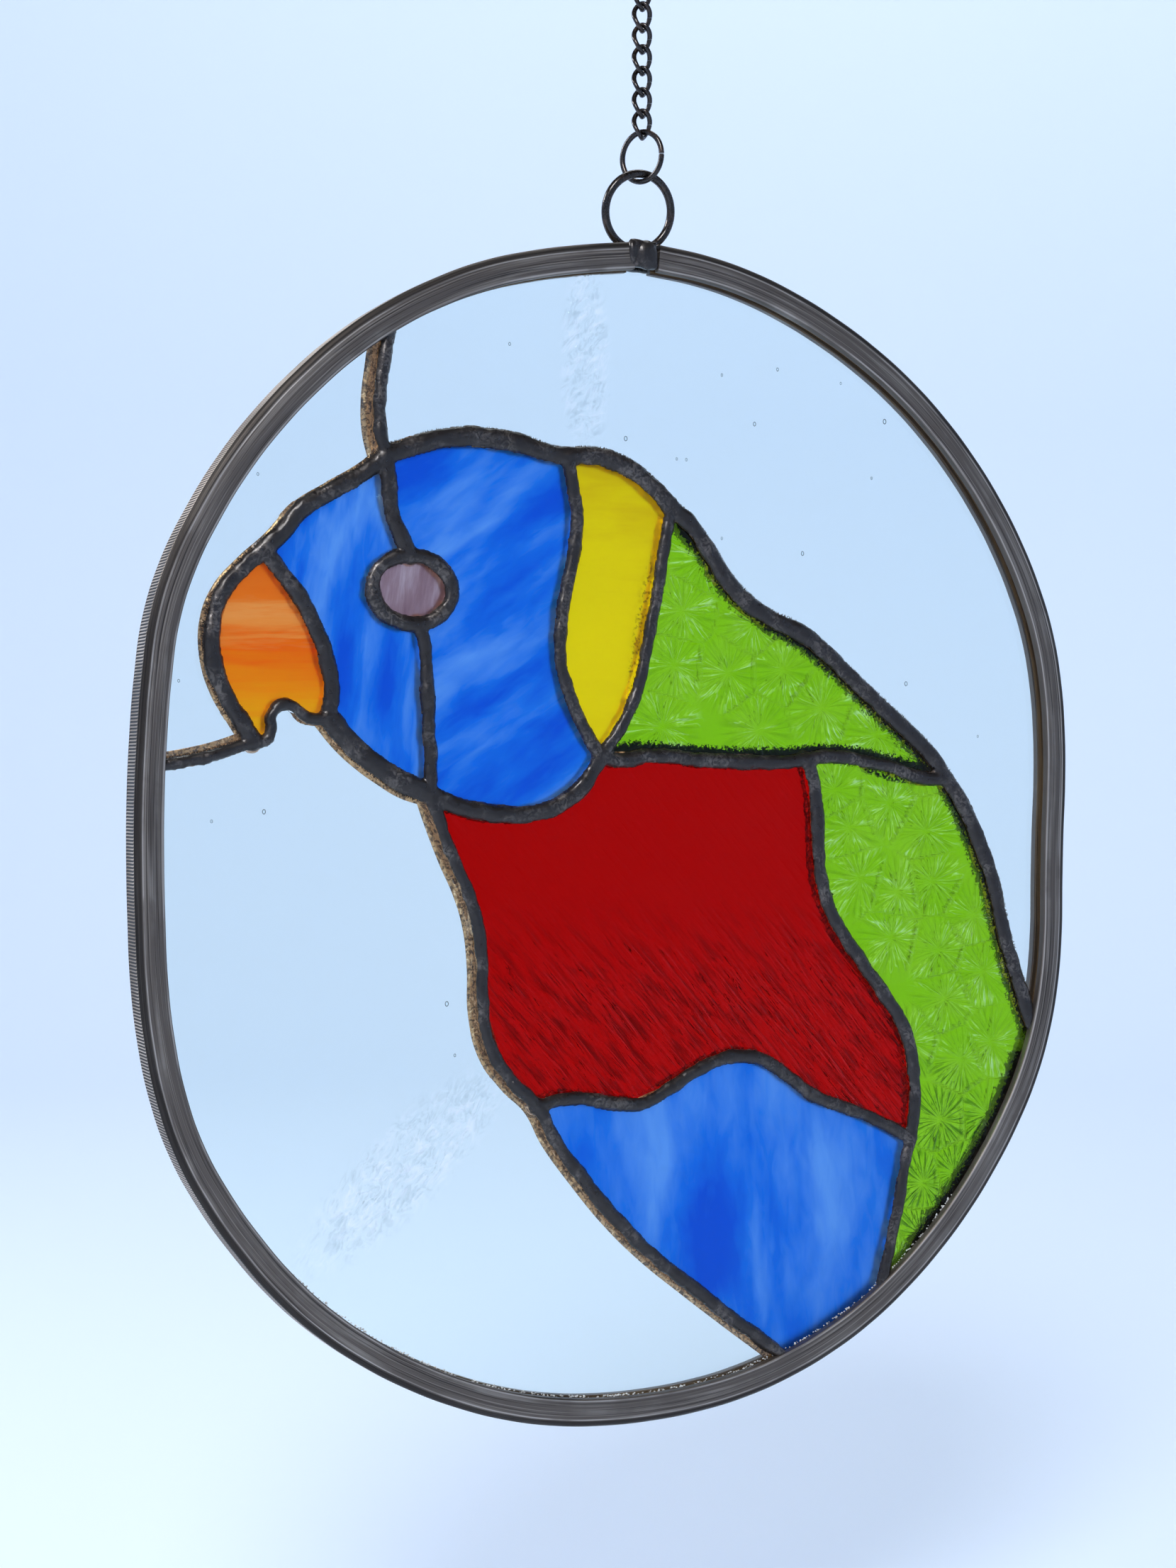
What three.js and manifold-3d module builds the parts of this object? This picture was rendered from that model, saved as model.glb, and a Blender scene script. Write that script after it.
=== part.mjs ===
// A hanging stained glass panel: a rainbow-coloured parrot in copper-foil work, framed in lead.
//
// Twelve panes of 3 mm glass are cut from one oval plate, wrapped in copper foil and soldered
// along every seam. A U-section lead came is bent round the oval; its ends meet at the top in
// a solder joint that also holds a wire ring. A jump ring, a twisted chain and an end ring
// hang it. Millimetres, +Z up, front towards -Y, origin at the inside top of the end ring.

import * as THREE from 'three';
import { mergeVertices } from 'three/addons/utils/BufferGeometryUtils.js';
import Module from 'manifold-3d';

const wasm = await Module();
wasm.setup();

// ---------------------------------------------------------------- driving dimensions

const GLASS = 3.0;              // glass thickness
const FIT = 0.3;                // clearance kept between neighbouring pieces

const CAME_FACE = 5.0;          // width of the came's front and back faces
const CAME_DEPTH = 6.0;         // front face to back face
const CAME_WEB = 1.2;           // thickness of the outer wall
const CAME_SHOULDER = 0.6;      // rounding between face and outer wall
const CAME_STEPS = 64;          // straight lengths that make the bent oval
const CAME_GAP = [-4.1, 1.9];   // the two ends of the came, left and right of the joint

const FOIL_WEB = 0.8;           // solder between two foiled glass edges
const BEAD_RISE = 1.0;          // how far a solder bead stands off the glass
const BEAD_CROWN = 0.5;         // width of a bead's top, as a share of its foot
const SEAM_STEP = 10;           // longest straight length along a seam
const EYE_SEAM = 2.3;           // width of the bead round the eye
const EYE_STEPS = 8;            // straight lengths in each half of it
const POOL = 3.4;               // width of a solder pool where seams meet
const POOL_SIDES = 6;

const JOINT_EDGE = 0.6;         // softening of the solder joint's edges
const JOINT_PROUD = 0.3;        // how far the joint stands above the came

const RING_X = -1.1;            // rings and chain hang a little left of the middle
const RING_WIRE = 1.5;
const RING_OUTER = 14.8;        // outside diameter of the soldered ring
const RING_Z = 112.2;           // its centre above the middle of the oval
const RING_LEAN = THREE.MathUtils.degToRad(12);     // it leans to the front
const RING_STEPS = 24;
const RING_SIDES = 8;

const JUMP_WIRE = 1.0;
const JUMP_OUTER = [9.0, 9.9];  // the oval jump ring, across and along
const JUMP_TURN = THREE.MathUtils.degToRad(-57);    // turned to pass through the ring

const LINK_WIRE = 0.9;
const LINK_WIDTH = 3.9;         // outside width of a chain link
const LINK_PITCH = 3.85;        // length that each link adds to the chain
const LINK_PLAY = 0.15;         // slack where two wires hook together
const LINK_COUNT = 8;
const LINK_TURN = THREE.MathUtils.degToRad(-4);     // middle of a link, turned from the panel
const LINK_TWIST = THREE.MathUtils.degToRad(-90);   // from the bottom of a link to its top

const END_WIRE = 1.2;
const END_OUTER = 12.0;         // the ring that a hook goes through
const BUTT_GAP = 0.12;          // where the two ends of a bent wire meet
const WIRE_SIDES = 6;
const WIRE_STEPS = 16;          // straight lengths round a jump ring, an end ring
const LINK_STEPS = 12;          // and a chain link

// ---------------------------------------------------------------- outline and seam lines

// Points are [x, z] from the middle of the oval, as seen from the front.

// Outer edge of the came, clockwise from the joint: big arcs above and below, flatter sides.
const oval = [
  [-1, 106.2], [20, 103.7], [40, 96.4], [58, 85.4], [73, 71.1], [84.5, 54.5], [91.7, 37],
  [94.3, 18], [93.8, -5], [92.9, -29], [88.5, -46.8], [79.6, -63.4], [65.3, -80.5],
  [46.2, -94.9], [24, -103.6], [0, -106.2], [-24, -103.5], [-46, -95.1], [-65.2, -82.1],
  [-79.2, -66.2], [-88.4, -50], [-93, -32], [-94.5, -10], [-94, 18], [-90.9, 40.3],
  [-82, 59.1], [-69.8, 75], [-54, 88.8], [-34, 99.3], [-15, 104.3],
];

// Junctions where three or more seams meet.
const crest = [-50.5, 65];
const brow = [-72, 48];
const beakTip = [-74, 16.2];
const jaw = [-61, 20.5];
const throat = [-42.5, 7.5];
const napeLeft = [-16, 66.9];
const napeRight = [5, 59];
const collarTip = [-9.3, 14];
const wingRoot = [34, 13.4];
const shoulder = [66, 9.7];
const flank = [57.6, -59.5];
const breastFoot = [-22, -47.8];

const eyeTop = [-46, 48];
const eyeBottom = [-44.3, 36.5];

const junctions = [
  crest, brow, beakTip, jaw, throat, napeLeft, napeRight, collarTip, wingRoot, shoulder,
  flank, breastFoot, eyeTop, eyeBottom,
];

const eyeCentre = [-45.7, 42.3];
const eyeRadii = [7.3, 5.9];

// Every seam: the width of its bead, and the points that its line runs through. A line that
// meets the frame goes on past the came's outer edge, and is trimmed there. A seam with tight
// bends has shorter steps than the rest.
const seams = {
  top_line: {
    width: 2.2,
    points: [[-49, 94], [-50, 87], [-51, 80], [-51.7, 74], [-51.5, 69], crest],
  },
  forehead: {
    width: 2.5,
    points: [crest, [-53.5, 62.5], [-60, 58.5], [-65.5, 55], [-70, 50], [-75, 45.5], [-79, 41],
      [-81, 36], [-81, 30], [-79.5, 25], [-76.5, 20], beakTip],
  },
  left_line: { width: 1.9, points: [beakTip, [-79.5, 14.3], [-85, 13], [-95, 11.4]] },
  beak_notch: {
    width: 1.8,
    step: 2,
    points: [beakTip, [-72, 16.4], [-71, 18.3], [-71, 20.5], [-69.3, 22.3], [-67, 22],
      [-65, 20.4], [-63, 20], jaw],
  },
  cheek: {
    width: 2.5,
    points: [brow, [-69, 44], [-65.8, 40], [-63, 35], [-61.3, 30], [-60.3, 25.5], jaw],
  },
  throat_line: { width: 3.2, points: [jaw, [-57.5, 16.5], [-54, 13.5], [-50, 10.8], [-46.5, 8.8], throat] },
  crown: {
    width: 2.8,
    points: [crest, [-46.5, 66.5], [-40, 68.5], [-33, 69.2], [-26, 68.8], [-19.5, 67.2], napeLeft,
      [-12.5, 67.3], [-7.5, 66.9], [-3, 65.2], [1, 62.5], napeRight],
  },
  back: {
    width: 2.8,
    points: [napeRight, [9, 56], [13, 51.2], [16.5, 46.5], [21, 42.3], [26.5, 39.4], [32.5, 37],
      [39, 32.8], [45, 28], [51.5, 23], [58, 18], [62.5, 14], shoulder, [70, 4.5], [74, -3.3],
      [77, -10], [79, -17.5], [80.9, -24], [84.2, -32.5], [87, -40], [89.5, -47]],
  },
  eye_line_upper: { width: 2.8, points: [crest, [-50, 60], [-49.5, 55.5], [-47.8, 51.5], eyeTop] },
  eye_line_lower: {
    width: 2.3,
    points: [eyeBottom, [-43.3, 31], [-43, 25], [-42.7, 19], [-42.4, 13], throat],
  },
  chin: {
    width: 2.6,
    points: [throat, [-39, 5.9], [-34, 4.4], [-28.5, 3.7], [-23, 3.8], [-18, 5.2], [-13.5, 8.2],
      [-11, 11.3], collarTip],
  },
  collar_left: {
    width: 2.3,
    points: [napeLeft, [-15, 62], [-14.2, 57], [-14.6, 51.5], [-16, 45], [-17.3, 38], [-17.6, 32.5],
      [-16.5, 27], [-14, 21], [-11.3, 16.5], collarTip],
  },
  collar_right: {
    width: 2.2,
    points: [napeRight, [3.8, 54], [2.8, 48], [1.6, 41.5], [0.3, 35.5], [-1.1, 29.5], [-3, 23.5],
      [-5.8, 18.5], collarTip],
  },
  wing_top: {
    width: 2.4,
    points: [collarTip, [-6, 13.2], [0, 14], [5, 13.9], [12, 13.2], [20, 13], [27, 12.9], wingRoot,
      [39, 14], [45, 13.5], [53, 11.9], [60, 10], shoulder],
  },
  wing_edge: {
    width: 2.6,
    points: [wingRoot, [35.4, 9.3], [36.3, 4], [36.6, -2], [37, -8], [38.6, -13.5], [42, -19.5],
      [46.5, -25.3], [51, -30.8], [55, -36.3], [57.5, -42], [58.5, -49], [58.4, -55], flank],
  },
  flank_line: {
    width: 2.4,
    points: [flank, [56.3, -64.5], [55.2, -70], [53.9, -75.5], [52.3, -81.5], [49, -94]],
  },
  belly_top: {
    width: 2.3,
    points: [breastFoot, [-17.5, -46.9], [-12, -47.3], [-5, -48.6], [0, -48.6], [5, -46.2],
      [10.5, -43.4], [15.5, -41.7], [20, -41.3], [24.5, -42.4], [30, -45.8], [36, -50],
      [43, -52.6], [50, -55.5], flank],
  },
  breast_front: {
    width: 2.7,
    points: [throat, [-40.8, 2.8], [-38, -4], [-35.2, -10], [-33.4, -16], [-32.6, -23], [-32.4, -31],
      [-30.6, -38], [-26.5, -43.5], breastFoot, [-18.5, -54], [-13, -61.3], [-6.5, -69],
      [0.5, -75.8], [9, -82.7], [18, -89.7], [25, -95], [34, -102.5]],
  },
};

// One spot inside each pane, with the colour of its glass.
const panes = {
  glass_clear_upper_left: { spot: [-68, 66], colour: 0xb8d0d4, clear: true },
  glass_clear_right: { spot: [50, 55], colour: 0xb8d0d4, clear: true },
  glass_clear_lower_left: { spot: [-60, -30], colour: 0xb8d0d4, clear: true },
  glass_beak: { spot: [-70, 32], colour: 0xf08020 },
  glass_face: { spot: [-58, 50], colour: 0x2a66d8 },
  glass_head: { spot: [-30, 30], colour: 0x2a66d8 },
  glass_eye: { spot: eyeCentre, colour: 0x7d6268 },
  glass_collar: { spot: [-7, 45], colour: 0xe8d000 },
  glass_wing_upper: { spot: [25, 25], colour: 0x7fc41c },
  glass_wing_lower: { spot: [60, -15], colour: 0x7fc41c },
  glass_breast: { spot: [5, -15], colour: 0x8f0000 },
  glass_belly: { spot: [25, -65], colour: 0x2a70e0 },
};

// ---------------------------------------------------------------- finishes

const lead = new THREE.MeshStandardMaterial({ color: 0x4a4546, roughness: 0.5, metalness: 0.8 });
const solder = new THREE.MeshStandardMaterial({ color: 0x2b2728, roughness: 0.4, metalness: 0.7 });
const wire = new THREE.MeshStandardMaterial({ color: 0x1c1a1d, roughness: 0.25, metalness: 0.9 });

function glassFinish({ colour, clear = false }) {
  return new THREE.MeshStandardMaterial({
    color: colour,
    roughness: clear ? 0.05 : 0.2,
    metalness: 0,
    transparent: true,
    opacity: clear ? 0.35 : 0.85,
  });
}

// ---------------------------------------------------------------- solids and curves

// A closed solid from a geometry, its shared corners welded and its slivers dropped.
function toSolid(geometry) {
  const bare = geometry.clone();
  bare.deleteAttribute('normal');
  bare.deleteAttribute('uv');
  const welded = mergeVertices(bare);
  const corners = welded.index.array;
  const triangles = [];
  for (let i = 0; i < corners.length; i += 3) {
    const [a, b, c] = corners.slice(i, i + 3);
    if (a !== b && b !== c && c !== a) triangles.push(a, b, c);
  }
  return new wasm.Manifold(new wasm.Mesh({
    numProp: 3,
    vertProperties: new Float32Array(welded.attributes.position.array),
    triVerts: new Uint32Array(triangles),
  }));
}

function toGeometry(solid) {
  const { vertProperties, triVerts } = solid.getMesh();
  const geometry = new THREE.BufferGeometry();
  geometry.setAttribute('position', new THREE.BufferAttribute(new Float32Array(vertProperties), 3));
  geometry.setIndex(new THREE.BufferAttribute(new Uint32Array(triVerts), 1));
  geometry.computeVertexNormals();
  return geometry;
}

const joinAll = (solids) => solids.reduce((whole, piece) => whole.add(piece));

const toShape = (points) => new THREE.Shape(points.map(([x, y]) => new THREE.Vector2(x, y)));

// A smooth line through [x, z] points in the panel's plane.
function lineThrough(points, closed = false) {
  const stations = points.map(([x, z]) => new THREE.Vector3(x, 0, z));
  return new THREE.CatmullRomCurve3(stations, closed, 'centripetal');
}

// A section swept along a line: in the panel's plane, section x is towards the front, and
// section y is across the line, to the right of someone who follows it, seen from the front.
function sweep(section, line, steps) {
  return new THREE.ExtrudeGeometry(toShape(section), { steps, bevelEnabled: false, extrudePath: line });
}

// A slab of the oval, its edge set in from the came's outer edge, centred on the glass.
function ovalSlab(inset, thickness) {
  const outline = lineThrough(oval, true);
  const edge = Array.from({ length: CAME_STEPS }, (_, i) => {
    const { x, z } = outline.getPointAt(i / CAME_STEPS);
    const along = outline.getTangentAt(i / CAME_STEPS);
    return [x + inset * along.z, z - inset * along.x];
  });
  return new THREE.ExtrudeGeometry(toShape(edge), { depth: thickness, bevelEnabled: false })
    .translate(0, 0, -thickness / 2)
    .rotateX(Math.PI / 2);
}

// The stretch of the oval from the right side of the joint round to its left side.
class BentCame extends THREE.Curve {
  constructor([left, right]) {
    super();
    this.outline = lineThrough(oval, true);
    const length = this.outline.getLength();
    this.from = (right - oval[0][0]) / length;
    this.to = 1 - (oval[0][0] - left) / length;
  }

  getPoint(t, target = new THREE.Vector3()) {
    return this.outline.getPointAt(THREE.MathUtils.lerp(this.from, this.to, t), target);
  }
}

// An arc of the seam round the eye, anticlockwise from an angle.
class EyeArc extends THREE.Curve {
  constructor(start, sweepAngle) {
    super();
    Object.assign(this, { start, sweepAngle });
  }

  getPoint(t, target = new THREE.Vector3()) {
    const angle = this.start + this.sweepAngle * t;
    const x = eyeCentre[0] + eyeRadii[0] * Math.cos(angle);
    const z = eyeCentre[1] + eyeRadii[1] * Math.sin(angle);
    return target.set(x, 0, z);
  }
}

// A wire bent round an oval until its ends meet, upright about the origin. The oval is turned
// about the vertical, and twists on from its bottom to its top.
class BentWire extends THREE.Curve {
  constructor({ across, along, ends = 0, turn = 0, twist = 0 }) {
    super();
    Object.assign(this, { across, along, ends, turn, twist });
    this.gap = BUTT_GAP / (across + along);
  }

  getPoint(t, target = new THREE.Vector3()) {
    const angle = this.ends + THREE.MathUtils.lerp(this.gap, 2 * Math.PI - this.gap, t);
    const side = this.across * Math.cos(angle);
    const rise = this.along * Math.sin(angle);
    const facing = this.turn + this.twist * rise / this.along / 2;
    return target.set(side * Math.cos(facing), side * Math.sin(facing), rise);
  }
}

function roundSection(diameter, sides) {
  return Array.from({ length: sides }, (_, i) => {
    const angle = 2 * Math.PI * (i + 0.5) / sides;
    return [diameter / 2 * Math.cos(angle), diameter / 2 * Math.sin(angle)];
  });
}

// ---------------------------------------------------------------- lead came

const front = CAME_DEPTH / 2;
const channel = GLASS / 2 + FIT;

const cameSection = [
  [front - CAME_SHOULDER, 0], [front, CAME_SHOULDER], [front, CAME_FACE - FIT],
  [front - FIT, CAME_FACE], [channel, CAME_FACE], [channel, CAME_WEB],
  [-channel, CAME_WEB], [-channel, CAME_FACE], [FIT - front, CAME_FACE],
  [-front, CAME_FACE - FIT], [-front, CAME_SHOULDER], [CAME_SHOULDER - front, 0],
];

// The soldered ring leans forward, and its lowest point sits down in the joint.
const ringLine = new BentWire({
  across: (RING_OUTER - RING_WIRE) / 2,
  along: (RING_OUTER - RING_WIRE) / 2,
  ends: -Math.PI / 2,
});

function placedRing(wireDiameter) {
  return sweep(roundSection(wireDiameter, RING_SIDES), ringLine, RING_STEPS)
    .rotateX(RING_LEAN)
    .translate(RING_X, 0, RING_Z);
}

const roomForRing = toSolid(placedRing(RING_WIRE + 2 * FIT));
const came = toSolid(sweep(cameSection, new BentCame(CAME_GAP), CAME_STEPS)).subtract(roomForRing);

// ---------------------------------------------------------------- seam lines and glass

const seamLines = Object.values(seams).map(({ width, step = SEAM_STEP, points }) => {
  const line = lineThrough(points);
  return { width, line, steps: Math.ceil(line.getLength() / step) };
});

// The line round the eye closes on itself, so it is two arcs that overlap a little.
for (const start of [0.3, 0.3 + Math.PI]) {
  seamLines.push({ width: EYE_SEAM, line: new EyeArc(start, 1.05 * Math.PI), steps: EYE_STEPS });
}

// The panes are what is left of one oval plate when a cut has followed every seam.
const cut = FOIL_WEB / 2 + FIT;
const cutSection = [[-GLASS, -cut], [GLASS, -cut], [GLASS, cut], [-GLASS, cut]];
const cuts = joinAll([
  ...seamLines.map(({ line, steps }) => toSolid(sweep(cutSection, line, steps))),
  ...junctions.map(([x, z]) => (
    toSolid(new THREE.CylinderGeometry(cut, cut, 2 * GLASS, POOL_SIDES).translate(x, 0, z))
  )),
]);
const cutPlate = toSolid(ovalSlab(CAME_WEB + FIT, GLASS)).subtract(cuts).decompose();

function paneAt([x, z]) {
  const probe = toSolid(new THREE.BoxGeometry(1, 1, 1).translate(x, 0, z));
  return cutPlate.find((pane) => !pane.intersect(probe).isEmpty());
}

// ---------------------------------------------------------------- solder seams

// Across a seam the solder is an H: a bead on the front, a web between the foiled edges of
// the glass, and a bead on the back.
const beadTop = channel + BEAD_RISE;
const web = FOIL_WEB / 2;

function seamSection(width) {
  const foot = width / 2;
  const crown = foot * BEAD_CROWN;
  return [
    [channel, -foot], [beadTop, -crown], [beadTop, crown], [channel, foot],
    [channel, web], [-channel, web], [-channel, foot], [-beadTop, crown],
    [-beadTop, -crown], [-channel, -foot], [-channel, -web], [channel, -web],
  ];
}

// Where seams meet, the solder has run into a round pool of the same section.
function pool([x, z]) {
  const foot = POOL / 2;
  const crown = foot * BEAD_CROWN;
  const profile = [
    [0, -beadTop], [crown, -beadTop], [foot, -channel], [web, -channel],
    [web, channel], [foot, channel], [crown, beadTop], [0, beadTop],
  ];
  const points = profile.map(([radius, height]) => new THREE.Vector2(radius, height));
  return toSolid(new THREE.LatheGeometry(points, POOL_SIDES).translate(x, 0, z));
}

const withinCame = toSolid(ovalSlab(CAME_FACE + FIT, 2 * CAME_DEPTH));
const solderSeams = joinAll([
  ...seamLines.map(({ width, line, steps }) => toSolid(sweep(seamSection(width), line, steps))),
  ...junctions.map(pool),
]).intersect(withinCame);

// ---------------------------------------------------------------- solder joint

// A block of solder with softened edges fills the gap between the came's ends. It straddles
// the edge of the glass and closes round the bottom of the ring.
const jointHalf = (CAME_GAP[1] - CAME_GAP[0]) / 2 - 2 * FIT;
const jointBlock = new THREE.ExtrudeGeometry(
  toShape([[-jointHalf, -CAME_FACE], [jointHalf, -CAME_FACE], [jointHalf, 0], [-jointHalf, 0]]),
  {
    depth: CAME_DEPTH - JOINT_EDGE,
    bevelThickness: JOINT_EDGE,
    bevelSize: JOINT_EDGE,
    bevelOffset: -JOINT_EDGE,
    bevelSegments: 2,
  },
)
  .translate(0, 0, (JOINT_EDGE - CAME_DEPTH) / 2)
  .rotateX(Math.PI / 2)
  .translate(RING_X, 0, oval[0][1] + JOINT_PROUD);

const joint = toSolid(jointBlock)
  .subtract(toSolid(ovalSlab(CAME_WEB, 2 * channel)))
  .subtract(roomForRing);

// ---------------------------------------------------------------- assembly

const panel = new THREE.Group();

function add(name, shape, finish, group = panel) {
  const piece = new THREE.Mesh(shape.isBufferGeometry ? shape : toGeometry(shape), finish);
  piece.name = name;
  group.add(piece);
  return piece;
}

add('came_frame', came, lead);
add('solder_seams', solderSeams, solder);
add('joint_solder', joint, solder);
add('hanging_ring', placedRing(RING_WIRE), wire);
for (const [name, pane] of Object.entries(panes)) {
  add(name, paneAt(pane.spot), glassFinish(pane));
}

// Everything above the ring hangs in one line, each wire hooked under the one below it.
const line = new THREE.Group();
line.position.set(RING_X, -ringLine.along * Math.sin(RING_LEAN), 0);
panel.add(line);

const hook = (lower, upper) => (lower + upper) / 2 + LINK_PLAY;
let hookedWire = RING_Z + ringLine.along * Math.cos(RING_LEAN);

function hang(name, wireDiameter, below, steps, shape) {
  const bent = new BentWire(shape);
  const piece = add(name, sweep(roundSection(wireDiameter, WIRE_SIDES), bent, steps), wire, line);
  piece.position.z = hookedWire - hook(below, wireDiameter) + bent.along;
  hookedWire = piece.position.z + bent.along;
}

hang('jump_ring', JUMP_WIRE, RING_WIRE, WIRE_STEPS, {
  across: (JUMP_OUTER[0] - JUMP_WIRE) / 2,
  along: (JUMP_OUTER[1] - JUMP_WIRE) / 2,
  turn: JUMP_TURN,
});

for (let i = 1; i <= LINK_COUNT; i += 1) {
  hang(`chain_link_${i}`, LINK_WIRE, i === 1 ? JUMP_WIRE : LINK_WIRE, LINK_STEPS, {
    across: (LINK_WIDTH - LINK_WIRE) / 2,
    along: (LINK_PITCH + hook(LINK_WIRE, LINK_WIRE)) / 2,
    turn: LINK_TURN,
    twist: LINK_TWIST,
  });
}

hang('end_ring', END_WIRE, LINK_WIRE, WIRE_STEPS, {
  across: (END_OUTER - END_WIRE) / 2,
  along: (END_OUTER - END_WIRE) / 2,
  turn: LINK_TURN - LINK_TWIST / 2,
});

// The object hangs by the inside of the end ring, so that point is the origin.
panel.position.set(-line.position.x, -line.position.y, END_WIRE / 2 - hookedWire);

const suncatcher = new THREE.Group();
suncatcher.add(panel);

export default suncatcher;
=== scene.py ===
# A hanging stained glass panel: a rainbow-coloured parrot in copper-foil work, framed in
# lead came, under a soldered wire ring and a chain of twisted links.

import math

import bmesh
import bpy
from mathutils import Euler, Matrix, Vector, kdtree, noise
from mathutils.geometry import intersect_point_line


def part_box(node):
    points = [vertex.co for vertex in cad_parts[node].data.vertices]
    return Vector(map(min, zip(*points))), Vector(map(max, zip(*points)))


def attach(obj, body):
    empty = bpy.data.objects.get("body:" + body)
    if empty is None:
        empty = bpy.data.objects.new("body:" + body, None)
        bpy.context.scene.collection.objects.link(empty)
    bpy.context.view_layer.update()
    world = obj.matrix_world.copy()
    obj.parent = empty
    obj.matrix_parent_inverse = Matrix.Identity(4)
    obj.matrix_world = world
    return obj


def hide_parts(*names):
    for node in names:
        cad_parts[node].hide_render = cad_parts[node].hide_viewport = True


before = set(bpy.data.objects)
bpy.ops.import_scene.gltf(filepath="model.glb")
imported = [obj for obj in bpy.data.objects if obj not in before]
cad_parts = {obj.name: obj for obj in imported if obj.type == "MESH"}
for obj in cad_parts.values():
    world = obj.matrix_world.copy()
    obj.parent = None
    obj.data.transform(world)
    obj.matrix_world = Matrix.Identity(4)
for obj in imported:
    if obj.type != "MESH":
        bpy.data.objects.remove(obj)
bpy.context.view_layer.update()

MM = 0.001
scene = bpy.context.scene

# -------- lead came
#
# The frame is one bar of drawn lead with a U-shaped section, bent round the glass. Its
# faces are smooth and scratched along their length, and its outer wall is milled with fine
# ribs. It is made straight here, ribs and all, and then bent, as the real one is.

came_low, came_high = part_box("came_frame")
pane_low, pane_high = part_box("glass_eye")
PANEL_MIDDLE = (came_low + came_high) / 2
GLASS_HALF = (pane_high.y - pane_low.y) / 2
CAME_HALF = (came_high.y - came_low.y) / 2

# The panel's parts are made lying flat, front up, and this stands them up in their place.
STAND = Matrix.Translation(PANEL_MIDDLE) @ Matrix.Rotation(math.pi / 2, 4, "X")

CAME_FACE = 5.0 * MM
CAME_WALL = 1.2 * MM
CAME_SHOULDER = 0.6 * MM
SHOULDER_ROUNDING = 1.1 * MM
LIP_ROUNDING = 0.35 * MM
GLAZING_GAP = 0.06 * MM
RIB_PITCH = 0.55 * MM
RIB_DEPTH = 0.20 * MM
WELD = MM / 100
SHOULDER_PAINTED_SHADE = (-1.25 * MM, -1.0 * MM)
OUTER_RIM = -1.38 * MM
INNER_RIM = 0.32 * MM - CAME_FACE
SCRATCHES = 4600.0
STREAK_WIDTH = 900.0
CEMENT_STREAKS = 1500.0
ALONG = 24.0
LEAD_COLOUR = (0.118, 0.099, 0.088)
LEAD_WORN = (0.28, 0.25, 0.225)
LEAD_EDGE_HIGHLIGHT = (0.42, 0.38, 0.35)
LEAD_DARK = (0.016, 0.013, 0.012)
RIB_BROWN = (0.30, 0.24, 0.19)
RIB_WORN_HIGHLIGHT = (0.75, 0.64, 0.54)
CEMENT_BROWN = (0.42, 0.27, 0.15)
CEMENT_DARK = (0.05, 0.035, 0.025)
CEMENT_PAINTED_GLOW = (0.020, 0.012, 0.007)


def new_piece(name, bm):
    mesh = bpy.data.meshes.new(name)
    bm.to_mesh(mesh)
    bm.free()
    made = bpy.data.objects.new(name, mesh)
    scene.collection.objects.link(made)
    return made


def modify(made, *steps):
    """The piece's mesh changed by modifiers, each given as its kind and its settings."""
    for kind, settings in steps:
        step = made.modifiers.new(kind, kind)
        for setting, value in settings.items():
            setattr(step, setting, value)
    graph = bpy.context.evaluated_depsgraph_get()
    made.data = bpy.data.meshes.new_from_object(made.evaluated_get(graph))
    made.modifiers.clear()


def smooth(made, angle):
    """Shaded smooth, apart from edges sharper than an angle in degrees."""
    made.data.polygons.foreach_set("use_smooth", [True] * len(made.data.polygons))
    made.data.set_sharp_from_angle(angle=math.radians(angle))


def curve_through(name, points, cyclic=False):
    """A smooth flat curve through points on the panel, and its object."""
    curve = bpy.data.curves.new(name, "CURVE")
    curve.dimensions = "2D"
    curve.fill_mode = "NONE"
    spline = curve.splines.new("BEZIER")
    spline.use_cyclic_u = cyclic
    spline.bezier_points.add(len(points) - 1)
    for knot, (x, y) in zip(spline.bezier_points, points):
        knot.co = (x, y, 0)
        knot.handle_left_type = knot.handle_right_type = "AUTO"
    made = bpy.data.objects.new(name, curve)
    scene.collection.objects.link(made)
    return made


def dress(made, finish, slot, *nodes):
    """The piece in its material, riding on the one body, in the place of CAD nodes if any."""
    made.data.materials.append(finish)
    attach(made, "root")
    if nodes:
        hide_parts(*nodes)


def feed(node, inputs):
    """A node's inputs joined to other nodes, or set to plain values."""
    for name, value in inputs.items():
        socket = node.inputs[name]
        if isinstance(value, bpy.types.NodeSocket):
            node.id_data.links.new(value, socket)
        elif socket.type == "RGBA":
            socket.default_value = (*value, 1)
        else:
            socket.default_value = value


def add(tree, kind, inputs=None, **settings):
    """A shader node with its settings made and its inputs fed."""
    made = tree.nodes.new("ShaderNode" + kind)
    for setting, value in settings.items():
        setattr(made, setting, value)
    feed(made, inputs or {})
    return made


def fed(kind, inputs, **settings):
    """A shader node in the tree of the sockets that feed it."""
    tree = next(v.id_data for v in inputs.values() if isinstance(v, bpy.types.NodeSocket))
    return add(tree, kind, inputs, **settings)


def maths(operation, first, second=0.0):
    return fed("Math", {0: first, 1: second}, operation=operation).outputs[0]


def times(first, second):
    return maths("MULTIPLY", first, second)


def plus(first, second):
    return maths("ADD", first, second)


def mix(share, first, second):
    """Two colours mixed by a share of the second."""
    return fed("Mix", {0: share, 6: first, 7: second}, data_type="RGBA").outputs[2]


def fade(value, low, high, start=0.0, end=1.0):
    """A value between low and high, spread from start to end."""
    inputs = {"Value": value, "From Min": low, "From Max": high, "To Min": start, "To Max": end}
    return fed("MapRange", inputs, interpolation_type="SMOOTHSTEP").outputs[0]


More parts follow.
